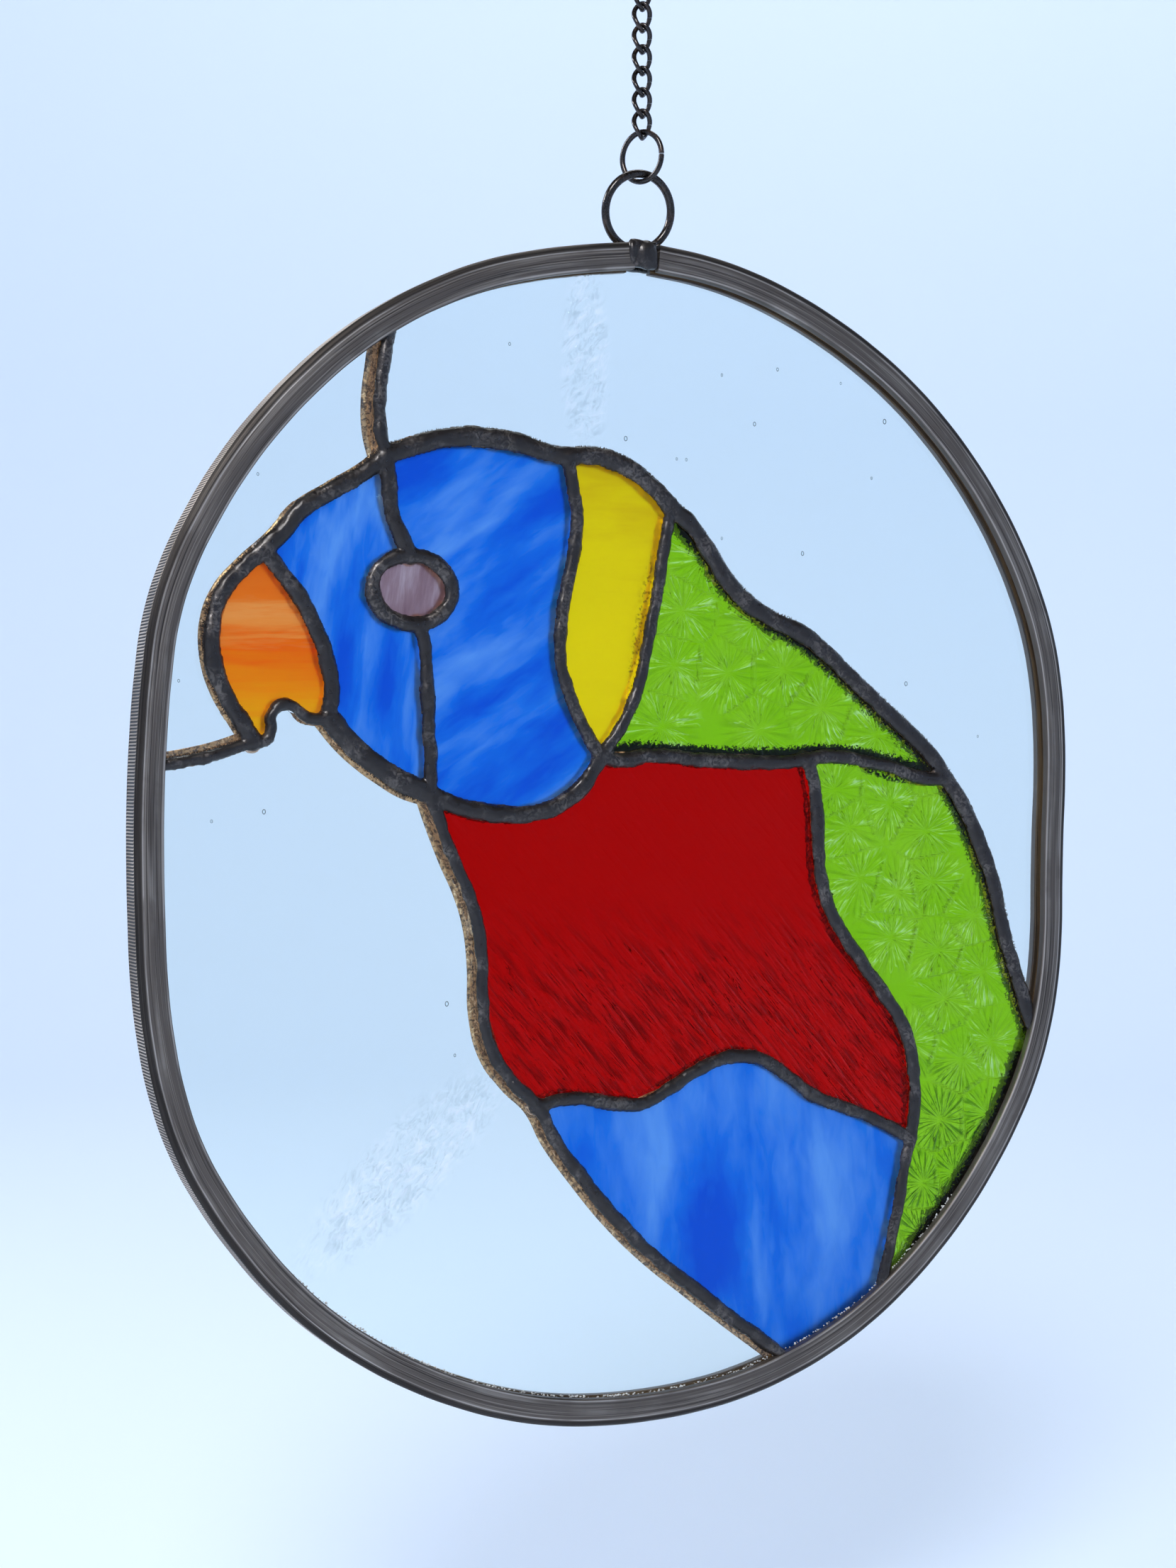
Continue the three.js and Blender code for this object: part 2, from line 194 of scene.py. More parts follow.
def ramp(value, stops):
    """Colours spread over a value, from a list of (value, colour)."""
    made = fed("ValToRGB", {"Fac": value})
    stretch = made.color_ramp.elements
    while len(stretch) < len(stops):
        stretch.new(0.5)
    for stop, (position, colour) in zip(stretch, stops):
        stop.position = position
        stop.color = (*colour, 1)
    return made.outputs["Color"]


def noise_of(vector, scale, detail=3.0, distortion=0.0):
    inputs = {"Vector": vector, "Scale": scale, "Detail": detail, "Distortion": distortion}
    return fed("TexNoise", inputs).outputs["Fac"]


def new_material(name, plain):
    """A material with plain values on its shader, its tree and its shader."""
    made = bpy.data.materials.new(name)
    made.use_nodes = True
    shader = made.node_tree.nodes["Principled BSDF"]
    feed(shader, plain)
    return made, made.node_tree, shader


def new_group(name, inputs, outputs):
    """An empty node group, what it is given, and the node that its results go to."""
    group = bpy.data.node_groups.new(name, "ShaderNodeTree")
    for way, sockets in (("INPUT", inputs), ("OUTPUT", outputs)):
        for socket, kind in sockets:
            group.interface.new_socket(socket, in_out=way, socket_type="NodeSocket" + kind)
    return group, group.nodes.new("NodeGroupInput").outputs, group.nodes.new("NodeGroupOutput")


def use_group(group, inputs):
    return fed("Group", inputs, node_tree=group).outputs


def attribute(tree, name, output="Fac"):
    """What the mesh keeps at each point under a name."""
    return add(tree, "Attribute", attribute_name=name).outputs[output]


def object_coords(tree):
    return add(tree, "TexCoord").outputs["Object"]


def axis_of(vector, axis):
    return fed("SeparateXYZ", {0: vector}).outputs[axis]


def bump(height, depth):
    return fed("Bump", {"Height": height, "Distance": depth}).outputs[0]


def came_outline():
    """The came's outer edge on its front, from its right-hand end clockwise to its left."""
    depth = came_low.y + CAME_SHOULDER
    places = {
        (round(v.co.x - PANEL_MIDDLE.x, 6), round(v.co.z - PANEL_MIDDLE.z, 6))
        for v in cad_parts["came_frame"].data.vertices
        if abs(v.co.y - depth) < CAME_SHOULDER / 10
    }
    return sorted(places, key=lambda place: math.atan2(*place) % (2 * math.pi))


def straight_came(length):
    """The bar along X, its outer wall at Y = 0 and its channel towards -Y."""
    inner = GLASS_HALF + GLAZING_GAP
    corners = [
        (0, -CAME_HALF), (0, CAME_HALF), (-CAME_FACE, CAME_HALF), (-CAME_FACE, inner),
        (-CAME_WALL, inner), (-CAME_WALL, -inner), (-CAME_FACE, -inner), (-CAME_FACE, -CAME_HALF),
    ]
    bm = bmesh.new()
    bm.faces.new([bm.verts.new((0, y, z)) for y, z in corners])
    roundings = [(0, SHOULDER_ROUNDING, 4), (-CAME_FACE, LIP_ROUNDING, 2)]
    for across, offset, segments in roundings:
        round_off = [
            v for v in bm.verts
            if abs(v.co.y - across) < WELD and abs(abs(v.co.z) - CAME_HALF) < WELD
        ]
        bmesh.ops.bevel(
            bm, geom=round_off, offset=offset, segments=segments, profile=0.5,
            affect="VERTICES", material=-1,
        )
    ribs = round(length / RIB_PITCH)
    pitch = length / ribs
    bmesh.ops.delete(bm, geom=bm.faces[:], context="FACES_ONLY")
    bmesh.ops.spin(
        bm, geom=bm.edges[:], cent=(0, 0, 0), axis=(0, 0, 1), dvec=(pitch / 2, 0, 0), angle=0,
        steps=2,
    )
    for v in bm.verts:
        if v.co.y > -WELD and abs(v.co.x - pitch / 2) < WELD:
            v.co.y -= RIB_DEPTH
    bar = new_piece("lead_came", bm)
    modify(bar, ("ARRAY", {
        "count": ribs, "use_relative_offset": False, "use_constant_offset": True,
        "constant_offset_displace": (pitch, 0, 0), "use_merge_vertices": True,
        "merge_threshold": WELD,
    }))
    bm = bmesh.new()
    bm.from_mesh(bar.data)
    bmesh.ops.holes_fill(bm, edges=[edge for edge in bm.edges if edge.is_boundary])
    bmesh.ops.recalc_face_normals(bm, faces=bm.faces[:])
    bm.to_mesh(bar.data)
    bm.free()
    return bar


outline = came_outline()
came_path = curve_through("came_path", outline)
came = straight_came(came_path.data.splines[0].calc_length())
for name, axis in (("along", 0), ("across", 1)):
    kept = came.data.attributes.new(name, "FLOAT", "POINT")
    kept.data.foreach_set("value", [v.co[axis] for v in came.data.vertices])
modify(came, ("CURVE", {"object": came_path, "deform_axis": "POS_X"}))
came.data.transform(STAND)
smooth(came, 50)
bpy.data.objects.remove(came_path)


def patina_group():
    """Cloudy patches, fine grain and pits of a dark patina."""
    sockets = [("Vector", "Vector"), ("Size", "Float")]
    group, given, results = new_group("patina", sockets, [("Clouds", "Float"), ("Grain", "Float")])
    finer = times(given["Size"], 6.0)
    feed(results, {
        "Clouds": noise_of(given["Vector"], given["Size"], 4.0, 0.6),
        "Grain": noise_of(given["Vector"], finer, 5.0),
    })
    return group


PATINA = patina_group()


def lengthwise(tree, fine):
    """Noise drawn out along the bar, fine across it."""
    along = times(attribute(tree, "along"), ALONG)
    across = times(attribute(tree, "across"), fine)
    spun = fed("CombineXYZ", {0: along, 1: across}).outputs[0]
    return noise_of(spun, 1.0, 5.0, 0.3)


def line_across(across, place, width):
    """A soft line along the bar at a place across it."""
    off = maths("ABSOLUTE", maths("SUBTRACT", across, place))
    return fade(off, width, width / 3)


def depth_off_glass(coords):
    """How far a point is in front of the glass, or behind it, and on which side."""
    behind = maths("SUBTRACT", axis_of(coords, "Y"), PANEL_MIDDLE.y)
    off_glass = maths("SUBTRACT", maths("ABSOLUTE", behind), GLASS_HALF)
    return off_glass, maths("SIGN", behind)


def came_finish():
    plain = {"Metallic": 0.75, "Emission Strength": 1.0}
    made, tree, shader = new_material("drawn_lead", plain)
    coords = object_coords(tree)
    across = attribute(tree, "across")
    scratches = lengthwise(tree, SCRATCHES)
    streaks = lengthwise(tree, STREAK_WIDTH)
    patina = use_group(PATINA, {"Vector": coords, "Size": 60.0})
    clouds = patina["Clouds"]

    # The faces: worn streaks, bright and dark scratches, painted shade on the shoulder and painted
    # highlights on the rims.
    worn = times(fade(streaks, 0.44, 0.66), fade(clouds, 0.35, 0.62))
    colour = mix(times(worn, 0.75), LEAD_COLOUR, LEAD_WORN)
    colour = mix(fade(scratches, 0.54, 0.68, 0.0, 0.85), colour, LEAD_WORN)
    colour = mix(fade(scratches, 0.45, 0.35, 0.0, 0.7), colour, LEAD_DARK)
    colour = mix(fade(across, *SHOULDER_PAINTED_SHADE, 0.0, 0.85), colour, LEAD_DARK)
    rim_highlights = maths(
        "MAXIMUM", line_across(across, OUTER_RIM, 0.16 * MM),
        line_across(across, INNER_RIM, 0.2 * MM),
    )
    rim_highlights = times(rim_highlights, fade(clouds, 0.32, 0.55, 0.25, 0.9))
    colour = mix(rim_highlights, colour, LEAD_EDGE_HIGHLIGHT)

    # The outer wall: painted shade in the grooves between the ribs, whose tops are rubbed bright
    # and carry a painted highlight.
    rib_tops_worn_and_highlit = mix(fade(clouds, 0.3, 0.7), RIB_BROWN, RIB_WORN_HIGHLIGHT)
    ribs = mix(fade(across, -0.13 * MM, -0.03 * MM), LEAD_DARK, rib_tops_worn_and_highlit)
    colour = mix(fade(across, -0.24 * MM, -0.22 * MM), colour, ribs)

    # The channel: brown cement, with a faint painted glow for light through the glass beside it.
    off_glass, _ = depth_off_glass(coords)
    cement_streaks = lengthwise(tree, CEMENT_STREAKS)
    cement = mix(fade(cement_streaks, 0.42, 0.62), CEMENT_DARK, CEMENT_BROWN)
    inside = times(
        fade(off_glass, 0.12 * MM, 0.08 * MM),
        fade(across, -0.9 * MM, -1.3 * MM),
    )
    relief = plus(scratches, times(patina["Grain"], 0.6))
    feed(shader, {
        "Base Color": mix(inside, colour, cement),
        "Emission Color": mix(inside, (0.0, 0.0, 0.0), CEMENT_PAINTED_GLOW),
        "Roughness": fade(scratches, 0.3, 0.7, 0.36, 0.60),
        "Normal": bump(relief, 0.07 * MM),
    })
    return made


dress(came, came_finish(), "lead_came", "came_frame")

# -------- solder seams
#
# Every pane's edge is wrapped in copper foil, and solder is run along each seam, front and
# back, in a rounded bead that is uneven where the iron stopped. The solder is black with
# patina; the copper shows at the beads' feet and through the clear glass.

SEAM_STRETCH = 0.3 * MM
SOLDER_TRIANGLES = 190_000
BEAD_RISE = 1.05 * MM
BEAD_LIFT = 0.02 * MM
SKIRT = 0.28 * MM
SKIRT_RISE = 0.22 * MM
WEB_HALF = 0.62 * MM
BEAD_ARC = 10
POOL_RADIUS = 1.85 * MM
POOL_RISE = 1.1 * BEAD_RISE
SOLDER_BLACK = (0.022, 0.018, 0.018)
SOLDER_WORN_SHEEN = (0.15, 0.13, 0.12)
COPPER = (0.58, 0.34, 0.17)
COPPER_DARK = (0.10, 0.055, 0.03)
COPPER_PAINTED_GLINT = (0.95, 0.72, 0.48)
COPPER_PAINTED_GLOW = 0.22
SKIRT_BROWN = (0.13, 0.085, 0.055)
SEAMS_TOP = PANEL_MIDDLE.z + 94 * MM

crest = (-50.5, 65)
brow = (-72, 48)
beak_tip = (-74, 16.2)
jaw = (-61, 20.5)
throat = (-42.5, 7.5)
nape_left = (-16, 66.9)
nape_right = (5, 59)
collar_tip = (-9.3, 14)
wing_root = (34, 13.4)
shoulder = (66, 9.7)
flank = (57.6, -59.5)
breast_foot = (-22, -47.8)
eye_top = (-46, 48)
eye_bottom = (-44.3, 36.5)

pools = [
    crest, brow, beak_tip, jaw, throat, nape_left, nape_right, collar_tip, wing_root, shoulder,
    flank, breast_foot, eye_top, eye_bottom,
]

# Each seam: the width of its bead, and the points on the panel that it runs through, in mm
# from the panel's middle.
seams = {
    "top_line": (2.2, [(-49.7, 88.5), (-51, 80), (-51.7, 74), (-51.5, 69), crest]),
    "forehead": (2.8, [
        crest, (-53.5, 62.5), (-60, 58.5), (-65.5, 55), (-70, 50), (-75, 45.5), (-79, 41),
        (-81, 36), (-81, 30), (-79.5, 25), (-76.5, 20), beak_tip,
    ]),
    "left_line": (1.9, [beak_tip, (-79.5, 14.3), (-85, 13), (-90.5, 12.1)]),
    "beak_notch": (1.8, [
        beak_tip, (-72, 16.4), (-71, 18.3), (-71, 20.5), (-69.3, 22.3), (-67, 22),
        (-65, 20.4), (-63, 20), jaw,
    ]),
    "cheek": (2.7, [brow, (-69, 44), (-65.8, 40), (-63, 35), (-61.3, 30), (-60.3, 25.5), jaw]),
    "throat_line": (3.5, [jaw, (-57.5, 16.5), (-54, 13.5), (-50, 10.8), (-46.5, 8.8), throat]),
    "crown": (3.2, [
        crest, (-46.5, 66.5), (-40, 68.5), (-33, 69.2), (-26, 68.8), (-19.5, 67.2), nape_left,
        (-12.5, 67.3), (-7.5, 66.9), (-3, 65.2), (1, 62.5), nape_right,
    ]),
    "back": (3.0, [
        nape_right, (9, 56), (13, 51.2), (16.5, 46.5), (21, 42.3), (26.5, 39.4), (32.5, 37),
        (39, 32.8), (45, 28), (51.5, 23), (58, 18), (62.5, 14), shoulder, (70, 4.5), (74, -3.3),
        (77, -10), (79, -17.5), (80.9, -24), (84.2, -32.5), (87, -39.5),
    ]),
    "eye_line_upper": (2.8, [crest, (-50, 60), (-49.5, 55.5), (-47.8, 51.5), eye_top]),
    "eye_line_lower": (2.3, [eye_bottom, (-43.3, 31), (-43, 25), (-42.7, 19), (-42.4, 13), throat]),
    "chin": (2.9, [
        throat, (-39, 5.9), (-34, 4.4), (-28.5, 3.7), (-23, 3.8), (-18, 5.2), (-13.5, 8.2),
        (-11, 11.3), collar_tip,
    ]),
    "collar_left": (2.3, [
        nape_left, (-15, 62), (-14.2, 57), (-14.6, 51.5), (-16, 45), (-17.3, 38), (-17.6, 32.5),
        (-16.5, 27), (-14, 21), (-11.3, 16.5), collar_tip,
    ]),
    "collar_right": (2.2, [
        nape_right, (3.8, 54), (2.8, 48), (1.6, 41.5), (0.3, 35.5), (-1.1, 29.5), (-3, 23.5),
        (-5.8, 18.5), collar_tip,
    ]),
    "wing_top": (2.4, [
        collar_tip, (-6, 13.2), (0, 14), (5, 13.9), (12, 13.2), (20, 13), (27, 12.9), wing_root,
        (39, 14), (45, 13.5), (53, 11.9), (60, 10), shoulder,
    ]),
    "wing_edge": (2.6, [
        wing_root, (35.4, 9.3), (36.3, 4), (36.6, -2), (37, -8), (38.6, -13.5), (42, -19.5),
        (46.5, -25.3), (51, -30.8), (55, -36.3), (57.5, -42), (58.5, -49), (58.4, -55), flank,
    ]),
    "flank_line": (2.4, [
        flank, (56.3, -64.5), (55.2, -70), (53.9, -75.5), (52.3, -81.5), (50.7, -87.5),
    ]),
    "belly_top": (2.3, [
        breast_foot, (-17.5, -46.9), (-12, -47.3), (-5, -48.6), (0, -48.6), (5, -46.2),
        (10.5, -43.4), (15.5, -41.7), (20, -41.3), (24.5, -42.4), (30, -45.8), (36, -50),
        (43, -52.6), (50, -55.5), flank,
    ]),
    "breast_front": (2.2, [
        throat, (-40.8, 2.8), (-38, -4), (-35.2, -10), (-33.4, -16), (-32.6, -23), (-32.4, -31),
        (-30.6, -38), (-26.5, -43.5), breast_foot, (-18.5, -54), (-13, -61.3), (-6.5, -69),
        (0.5, -75.8), (9, -82.7), (18, -89.7), (25, -95), (29, -98),
    ]),
}
EYE_MIDDLE = (-45.7, 42.3)
EYE_REACH = (7.3, 5.9)
EYE_BEAD = 2.5
EYE_POINTS = 16
turns = [2 * math.pi * i / EYE_POINTS for i in range(EYE_POINTS)]
eye_ring = [
    (EYE_MIDDLE[0] + EYE_REACH[0] * math.cos(turn), EYE_MIDDLE[1] + EYE_REACH[1] * math.sin(turn))
    for turn in turns
]


def in_metres(points):
    return [(x * MM, y * MM) for x, y in points]


def seam_section(width):
    """Across a seam: a bead with a thin skirt on the front, a web between, the same behind."""
    half = width * MM / 2
    foot = GLASS_HALF + BEAD_LIFT
    front = [
        (half * math.cos(turn), foot + SKIRT_RISE + (BEAD_RISE - SKIRT_RISE) * math.sin(turn))
        for turn in (math.pi * i / BEAD_ARC for i in range(BEAD_ARC + 1))
    ]
    skirt = [(-half - SKIRT, foot + SKIRT_RISE / 2), (-half - SKIRT, foot), (-WEB_HALF, foot)]
    other_skirt = [(WEB_HALF, foot), (half + SKIRT, foot), (half + SKIRT, foot + SKIRT_RISE / 2)]
    upper = other_skirt + front + skirt
    return upper + [(-x, -z) for x, z in upper]


def run_along(bm, corners, points, cyclic=False, wander=0.1):
    """A section swept along a line on the panel, its width wandering, added to the mesh."""
    section = bpy.data.curves.new("section", "CURVE")
    section.dimensions = "2D"
    spline = section.splines.new("POLY")
    spline.use_cyclic_u = True
    spline.points.add(len(corners) - 1)
    for point, (x, z) in zip(spline.points, corners):
        point.co = (x, z, 0, 1)
    profile = bpy.data.objects.new("section", section)
    seam = curve_through("seam", in_metres(points), cyclic)
    for i, knot in enumerate(seam.data.splines[0].bezier_points):
        knot.radius = 1 + wander * noise.noise(Vector((i * 0.9, len(points), points[0][0])))
    seam.data.bevel_mode = "OBJECT"
    seam.data.bevel_object = profile
    seam.data.use_fill_caps = True
    graph = bpy.context.evaluated_depsgraph_get()
    swept = bpy.data.meshes.new_from_object(seam.evaluated_get(graph))
    bm.from_mesh(swept)
    bpy.data.objects.remove(seam)
    bpy.data.objects.remove(profile)


def beside(points, reach):
    """The points of a line shifted sideways, to the left of its run where reach is positive."""
    shifted = []
    for i, (x, y) in enumerate(points):
        before, after = points[max(i - 1, 0)], points[min(i + 1, len(points) - 1)]
        run = Vector((after[0] - before[0], after[1] - before[1])).normalized()
        shifted.append((x - run.y * reach, y + run.x * reach))
    return shifted


def roughen(made, amount, scale, seed=0.0):
    """The surface moved in and out by soft noise."""
    shift = Vector((seed, seed, seed))
    bm = bmesh.new()
    bm.from_mesh(made.data)
    for v in bm.verts:
        v.co += v.normal * amount * noise.noise(v.co * scale + shift)
    bm.to_mesh(made.data)
    bm.free()


def fuse(made, voxel):
    """Overlapping bodies made one skin, and their joins eased."""
    modify(
        made, ("REMESH", {"mode": "VOXEL", "voxel_size": voxel}),
        ("SMOOTH", {"factor": 0.5, "iterations": 3}),
    )


def thin_out(made, most):
    """The piece brought down to so many triangles, where its surface is nearly flat first."""
    count = sum(len(face.vertices) - 2 for face in made.data.polygons)
    modify(made, ("DECIMATE", {"ratio": min(1.0, most / count)}))


bm = bmesh.new()
for width, points in seams.values():
    run_along(bm, seam_section(width), points)
run_along(bm, seam_section(EYE_BEAD), eye_ring, cyclic=True)
for x, y in in_metres(pools):
    pool = bmesh.ops.create_uvsphere(bm, u_segments=16, v_segments=10, radius=POOL_RADIUS)["verts"]
    bmesh.ops.scale(bm, verts=pool, vec=(1, 1, (GLASS_HALF + POOL_RISE) / POOL_RADIUS))
    bmesh.ops.translate(bm, verts=pool, vec=(x, y, 0))
solder = new_piece("solder_beads", bm)
solder.data.transform(STAND)
fuse(solder, SEAM_STRETCH)
roughen(solder, 0.30 * MM, 300)
roughen(solder, 0.10 * MM, 1200, 7.0)
thin_out(solder, SOLDER_TRIANGLES)
smooth(solder, 180)


def solder_finish():
    plain = {"Coat Weight": 0.3, "Coat Roughness": 0.2, "Emission Strength": 1.0}
    made, tree, shader = new_material("patina_solder", plain)
    coords = object_coords(tree)
    off_glass, side = depth_off_glass(coords)
    patina = use_group(PATINA, {"Vector": coords, "Size": 170.0})
    clouds = patina["Clouds"]
    streaks = noise_of(coords, 900.0, 4.0, 1.5)
    crinkle = noise_of(coords, 1500.0, 4.0, 1.0)

    # The bead: black, worn grey in patches that also stand in for painted sheen, and brown where
    # its skirt thins out.
    worn = times(fade(clouds, 0.44, 0.66), fade(streaks, 0.38, 0.66))
    black = mix(times(worn, 0.7), SOLDER_BLACK, SOLDER_WORN_SHEEN)
    skirt = fade(off_glass, 0.45 * MM, 0.20 * MM, 0.0, 0.75)
    brown = times(skirt, fade(crinkle, 0.42, 0.62))
    black = mix(brown, black, SKIRT_BROWN)

    # The foil: crinkled copper on what faces the glass or lies between the panes, with painted
    # glints.
    foil = mix(fade(crinkle, 0.36, 0.60), COPPER_DARK, COPPER)
    painted_copper_glint = times(fade(crinkle, 0.60, 0.68), fade(clouds, 0.4, 0.6))
    foil = mix(painted_copper_glint, foil, COPPER_PAINTED_GLINT)
    facing = axis_of(add(tree, "NewGeometry").outputs["Normal"], "Y")
    under = fade(times(facing, side), -0.15, -0.5)
    bare = maths("MAXIMUM", under, fade(off_glass, -0.05 * MM, -0.15 * MM))
    height = axis_of(coords, "Z")
    bare = times(bare, fade(height, SEAMS_TOP + 3 * MM, SEAMS_TOP))
    # A painted glow on the bare copper, as if it were lit through the glass.
    glow = mix(COPPER_PAINTED_GLOW, (0.0, 0.0, 0.0), foil)

    relief = plus(patina["Grain"], times(crinkle, 0.5))
    feed(shader, {
        "Base Color": mix(bare, black, foil),
        "Emission Color": mix(bare, (0.0, 0.0, 0.0), glow),
        "Metallic": fade(bare, 0.0, 1.0, 0.55, 1.0),
        "Roughness": fade(patina["Grain"], 0.3, 0.7, 0.26, 0.50),
        "Normal": bump(relief, 0.09 * MM),
    })
    return made


solder_black = solder_finish()
dress(solder, solder_black, "patina_solder", "solder_seams")

# -------- copper foil
#
# Beside the clear panes the foil on the back was folded over further than the bead that
# covers it, so a crinkled copper strip shows through the glass along the seam.

FOIL_THICK = 0.12 * MM

# Where each strip starts, from the seam's middle, and how far it reaches, in mm.
FOIL_INNER = 0.5
foil_reach = {
    "top_line": 2.6, "breast_front": 2.05, "throat_line": 2.3, "left_line": 2.0, "forehead": 1.6,
}
bm = bmesh.new()
for seam, reach in foil_reach.items():
    half = (reach - FOIL_INNER) / 2 * MM
    near = -GLASS_HALF - BEAD_LIFT
    ribbon = [(half, near), (half, near - FOIL_THICK), (-half, near - FOIL_THICK), (-half, near)]
    run_along(bm, ribbon, beside(seams[seam][1], -(reach + FOIL_INNER) / 2), wander=0)
bmesh.ops.recalc_face_normals(bm, faces=bm.faces[:])
foil_strips = new_piece("copper_foil", bm)
foil_strips.data.transform(STAND)
dress(foil_strips, solder_black, "patina_solder")

# -------- solder joint
#
# A lump of solder closes the gap between the came's two ends and holds the foot of the
# ring. It is a block that ran into a rounded ball in front, with a groove down its left.

JOINT_STRETCH = 0.22 * MM
LUMP_DEPTH = 0.75 * MM

# The ball and the lobe left of the groove: how far right of the middle, and their reach.
lumps = [
    (0.35 * MM, Vector((2.25, 1.5, 2.75)) * MM),
    (-2.75 * MM, Vector((0.85, 1.0, 2.5)) * MM),
]

joint_low, joint_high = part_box("joint_solder")


def cad_copy(node):
    """A copy of a CAD node's mesh with its corners joined up."""
    bm = bmesh.new()
    bm.from_mesh(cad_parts[node].data)
    bmesh.ops.remove_doubles(bm, verts=bm.verts[:], dist=MM / 1000)
    return bm


bm = cad_copy("joint_solder")
for across, reach in lumps:
    lump = bmesh.ops.create_uvsphere(bm, u_segments=20, v_segments=12, radius=1)["verts"]
    place = (across, joint_low.y + LUMP_DEPTH, (joint_low.z + joint_high.z) / 2)
    bmesh.ops.scale(bm, verts=lump, vec=reach)
    bmesh.ops.translate(bm, verts=lump, vec=place)
joint = new_piece("ring_joint", bm)
fuse(joint, JOINT_STRETCH)
roughen(joint, 0.25 * MM, 420, 3.0)
smooth(joint, 180)
dress(joint, solder_black, "patina_solder", "joint_solder")

# -------- rings and chain
#
# The soldered ring, the oval jump ring, the curb chain and the end ring are bent from
# blackened wire. Each wire's cut ends meet in a fine gap, and each link is twisted a
# quarter turn from its bottom to its top.

RING_WIRE = 1.5 * MM
RING_REACH = 7.4 * MM - RING_WIRE / 2
RING_LEAN = math.radians(12)
JUMP_WIRE = 1.0 * MM
JUMP_REACH = (4.0 * MM, 4.45 * MM)
JUMP_TURN = math.radians(-57)
LINK_WIRE = 0.9 * MM
LINK_REACH = (1.5 * MM, 2.45 * MM)
LINK_TURN = math.radians(-4)
LINK_TWIST = math.radians(-90)
LINK_COUNT = 8
END_WIRE = 1.2 * MM
END_REACH = (5.4 * MM, 5.4 * MM)
WIRE_GAP = math.radians(3)
WIRE_SIDES = 14
WIRE_BLACK = (0.018, 0.014, 0.013)
WIRE_BROWN = (0.07, 0.045, 0.034)


def bent_wire(name, node, wire, reach, cut=0.0, turn=0.0, twist=0.0, lean=0.0, steps=64):
    """A round wire bent to an oval in the place of a CAD node, its cut ends at an angle."""
    across, along = reach
    bm = bmesh.new()
    bmesh.ops.create_circle(bm, segments=WIRE_SIDES, radius=wire / 2)
    bmesh.ops.translate(bm, verts=bm.verts[:], vec=(across, 0, 0))
    bmesh.ops.spin(
        bm, geom=bm.edges[:], cent=(0, 0, 0), axis=(0, -1, 0), angle=2 * math.pi - WIRE_GAP,
        steps=steps,
    )
    bmesh.ops.holes_fill(bm, edges=[edge for edge in bm.edges if edge.is_boundary])
    bmesh.ops.recalc_face_normals(bm, faces=bm.faces[:])
    start = Matrix.Rotation(WIRE_GAP / 2 + cut, 3, (0, -1, 0))
    low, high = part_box(node)
    for v in bm.verts:
        v.co = start @ v.co
        angle = math.atan2(v.co.z, v.co.x)
        v.co.z += (along - across) * math.sin(angle)
        v.co = Matrix.Rotation(turn + twist * v.co.z / along / 2, 3, "Z") @ v.co
        v.co = Matrix.Rotation(lean, 3, "X") @ v.co + (low + high) / 2
    made = new_piece(name, bm)
    smooth(made, 50)
    return made


def wire_finish():
    plain = {"Metallic": 0.7, "Coat Weight": 0.5, "Coat Roughness": 0.10}
    made, tree, shader = new_material("black_wire", plain)
    patina = use_group(PATINA, {"Vector": object_coords(tree), "Size": 400.0})
    rubbed = fade(patina["Clouds"], 0.50, 0.72, 0.0, 0.6)
    feed(shader, {
        "Base Color": mix(rubbed, WIRE_BLACK, WIRE_BROWN),
        "Roughness": fade(patina["Grain"], 0.3, 0.7, 0.18, 0.38),
        "Normal": bump(patina["Grain"], 0.02 * MM),
    })
    return made


wire_black = wire_finish()
wires = {
    "hanging_ring": bent_wire(
        "soldered_ring", "hanging_ring", RING_WIRE, (RING_REACH, RING_REACH), cut=-math.pi / 2,
        lean=RING_LEAN, steps=96,
    ),
    "jump_ring": bent_wire("oval_jump_ring", "jump_ring", JUMP_WIRE, JUMP_REACH, turn=JUMP_TURN),
    "end_ring": bent_wire(
        "hook_ring", "end_ring", END_WIRE, END_REACH, turn=LINK_TURN - LINK_TWIST / 2, steps=80,
    ),
}
for i in range(1, LINK_COUNT + 1):
    wires[f"chain_link_{i}"] = bent_wire(
        f"curb_link_{i}", f"chain_link_{i}", LINK_WIRE, LINK_REACH, turn=LINK_TURN,
        twist=LINK_TWIST, steps=48,
    )
for node, made in wires.items():
    dress(made, wire_black, "black_wire", node)

# -------- opal glass
#
# The blue, orange, yellow and mauve panes are hand-rolled opal sheet: two colours of hot
# glass stirred together and rolled flat, so wisps and threads run one way in each pane.
# Light comes through them softened.

SOFT_SHINE = (0.3, 0.3, 0.3)
OPAL = {
    "Roughness": 0.42, "IOR": 1.5, "Specular IOR Level": 0.15, "Specular Tint": SOFT_SHINE,
    "Transmission Weight": 0.86,
}
BLUE_DEEP = (0.001, 0.095, 0.66)
BLUE = (0.005, 0.175, 0.76)
BLUE_PALE = (0.13, 0.37, 0.86)
FLUX_BROWN = (0.30, 0.19, 0.0)
STREAK_DEPTH = 20 * MM
THREAD_SHARE = 0.35
ROLLED_RELIEF = 0.05 * MM


def streaks_group():
    """Soft wisps and fine threads drawn out one way, with swirls in them."""
    sockets = [("Vector", "Vector"), ("Turn", "Vector"), ("Size", "Vector"), ("Swirl", "Float")]
    results = [("Wisps", "Float"), ("Threads", "Float")]
    group, given, results = new_group("streaks", sockets, results)
    inputs = {"Vector": given["Vector"], "Rotation": given["Turn"], "Scale": given["Size"]}
    drawn = fed("Mapping", inputs, vector_type="TEXTURE").outputs[0]
    feed(results, {
        "Wisps": noise_of(drawn, 1.0, 2.5, given["Swirl"]),
        "Threads": noise_of(drawn, 4.5, 4.0, given["Swirl"]),
    })
    return group


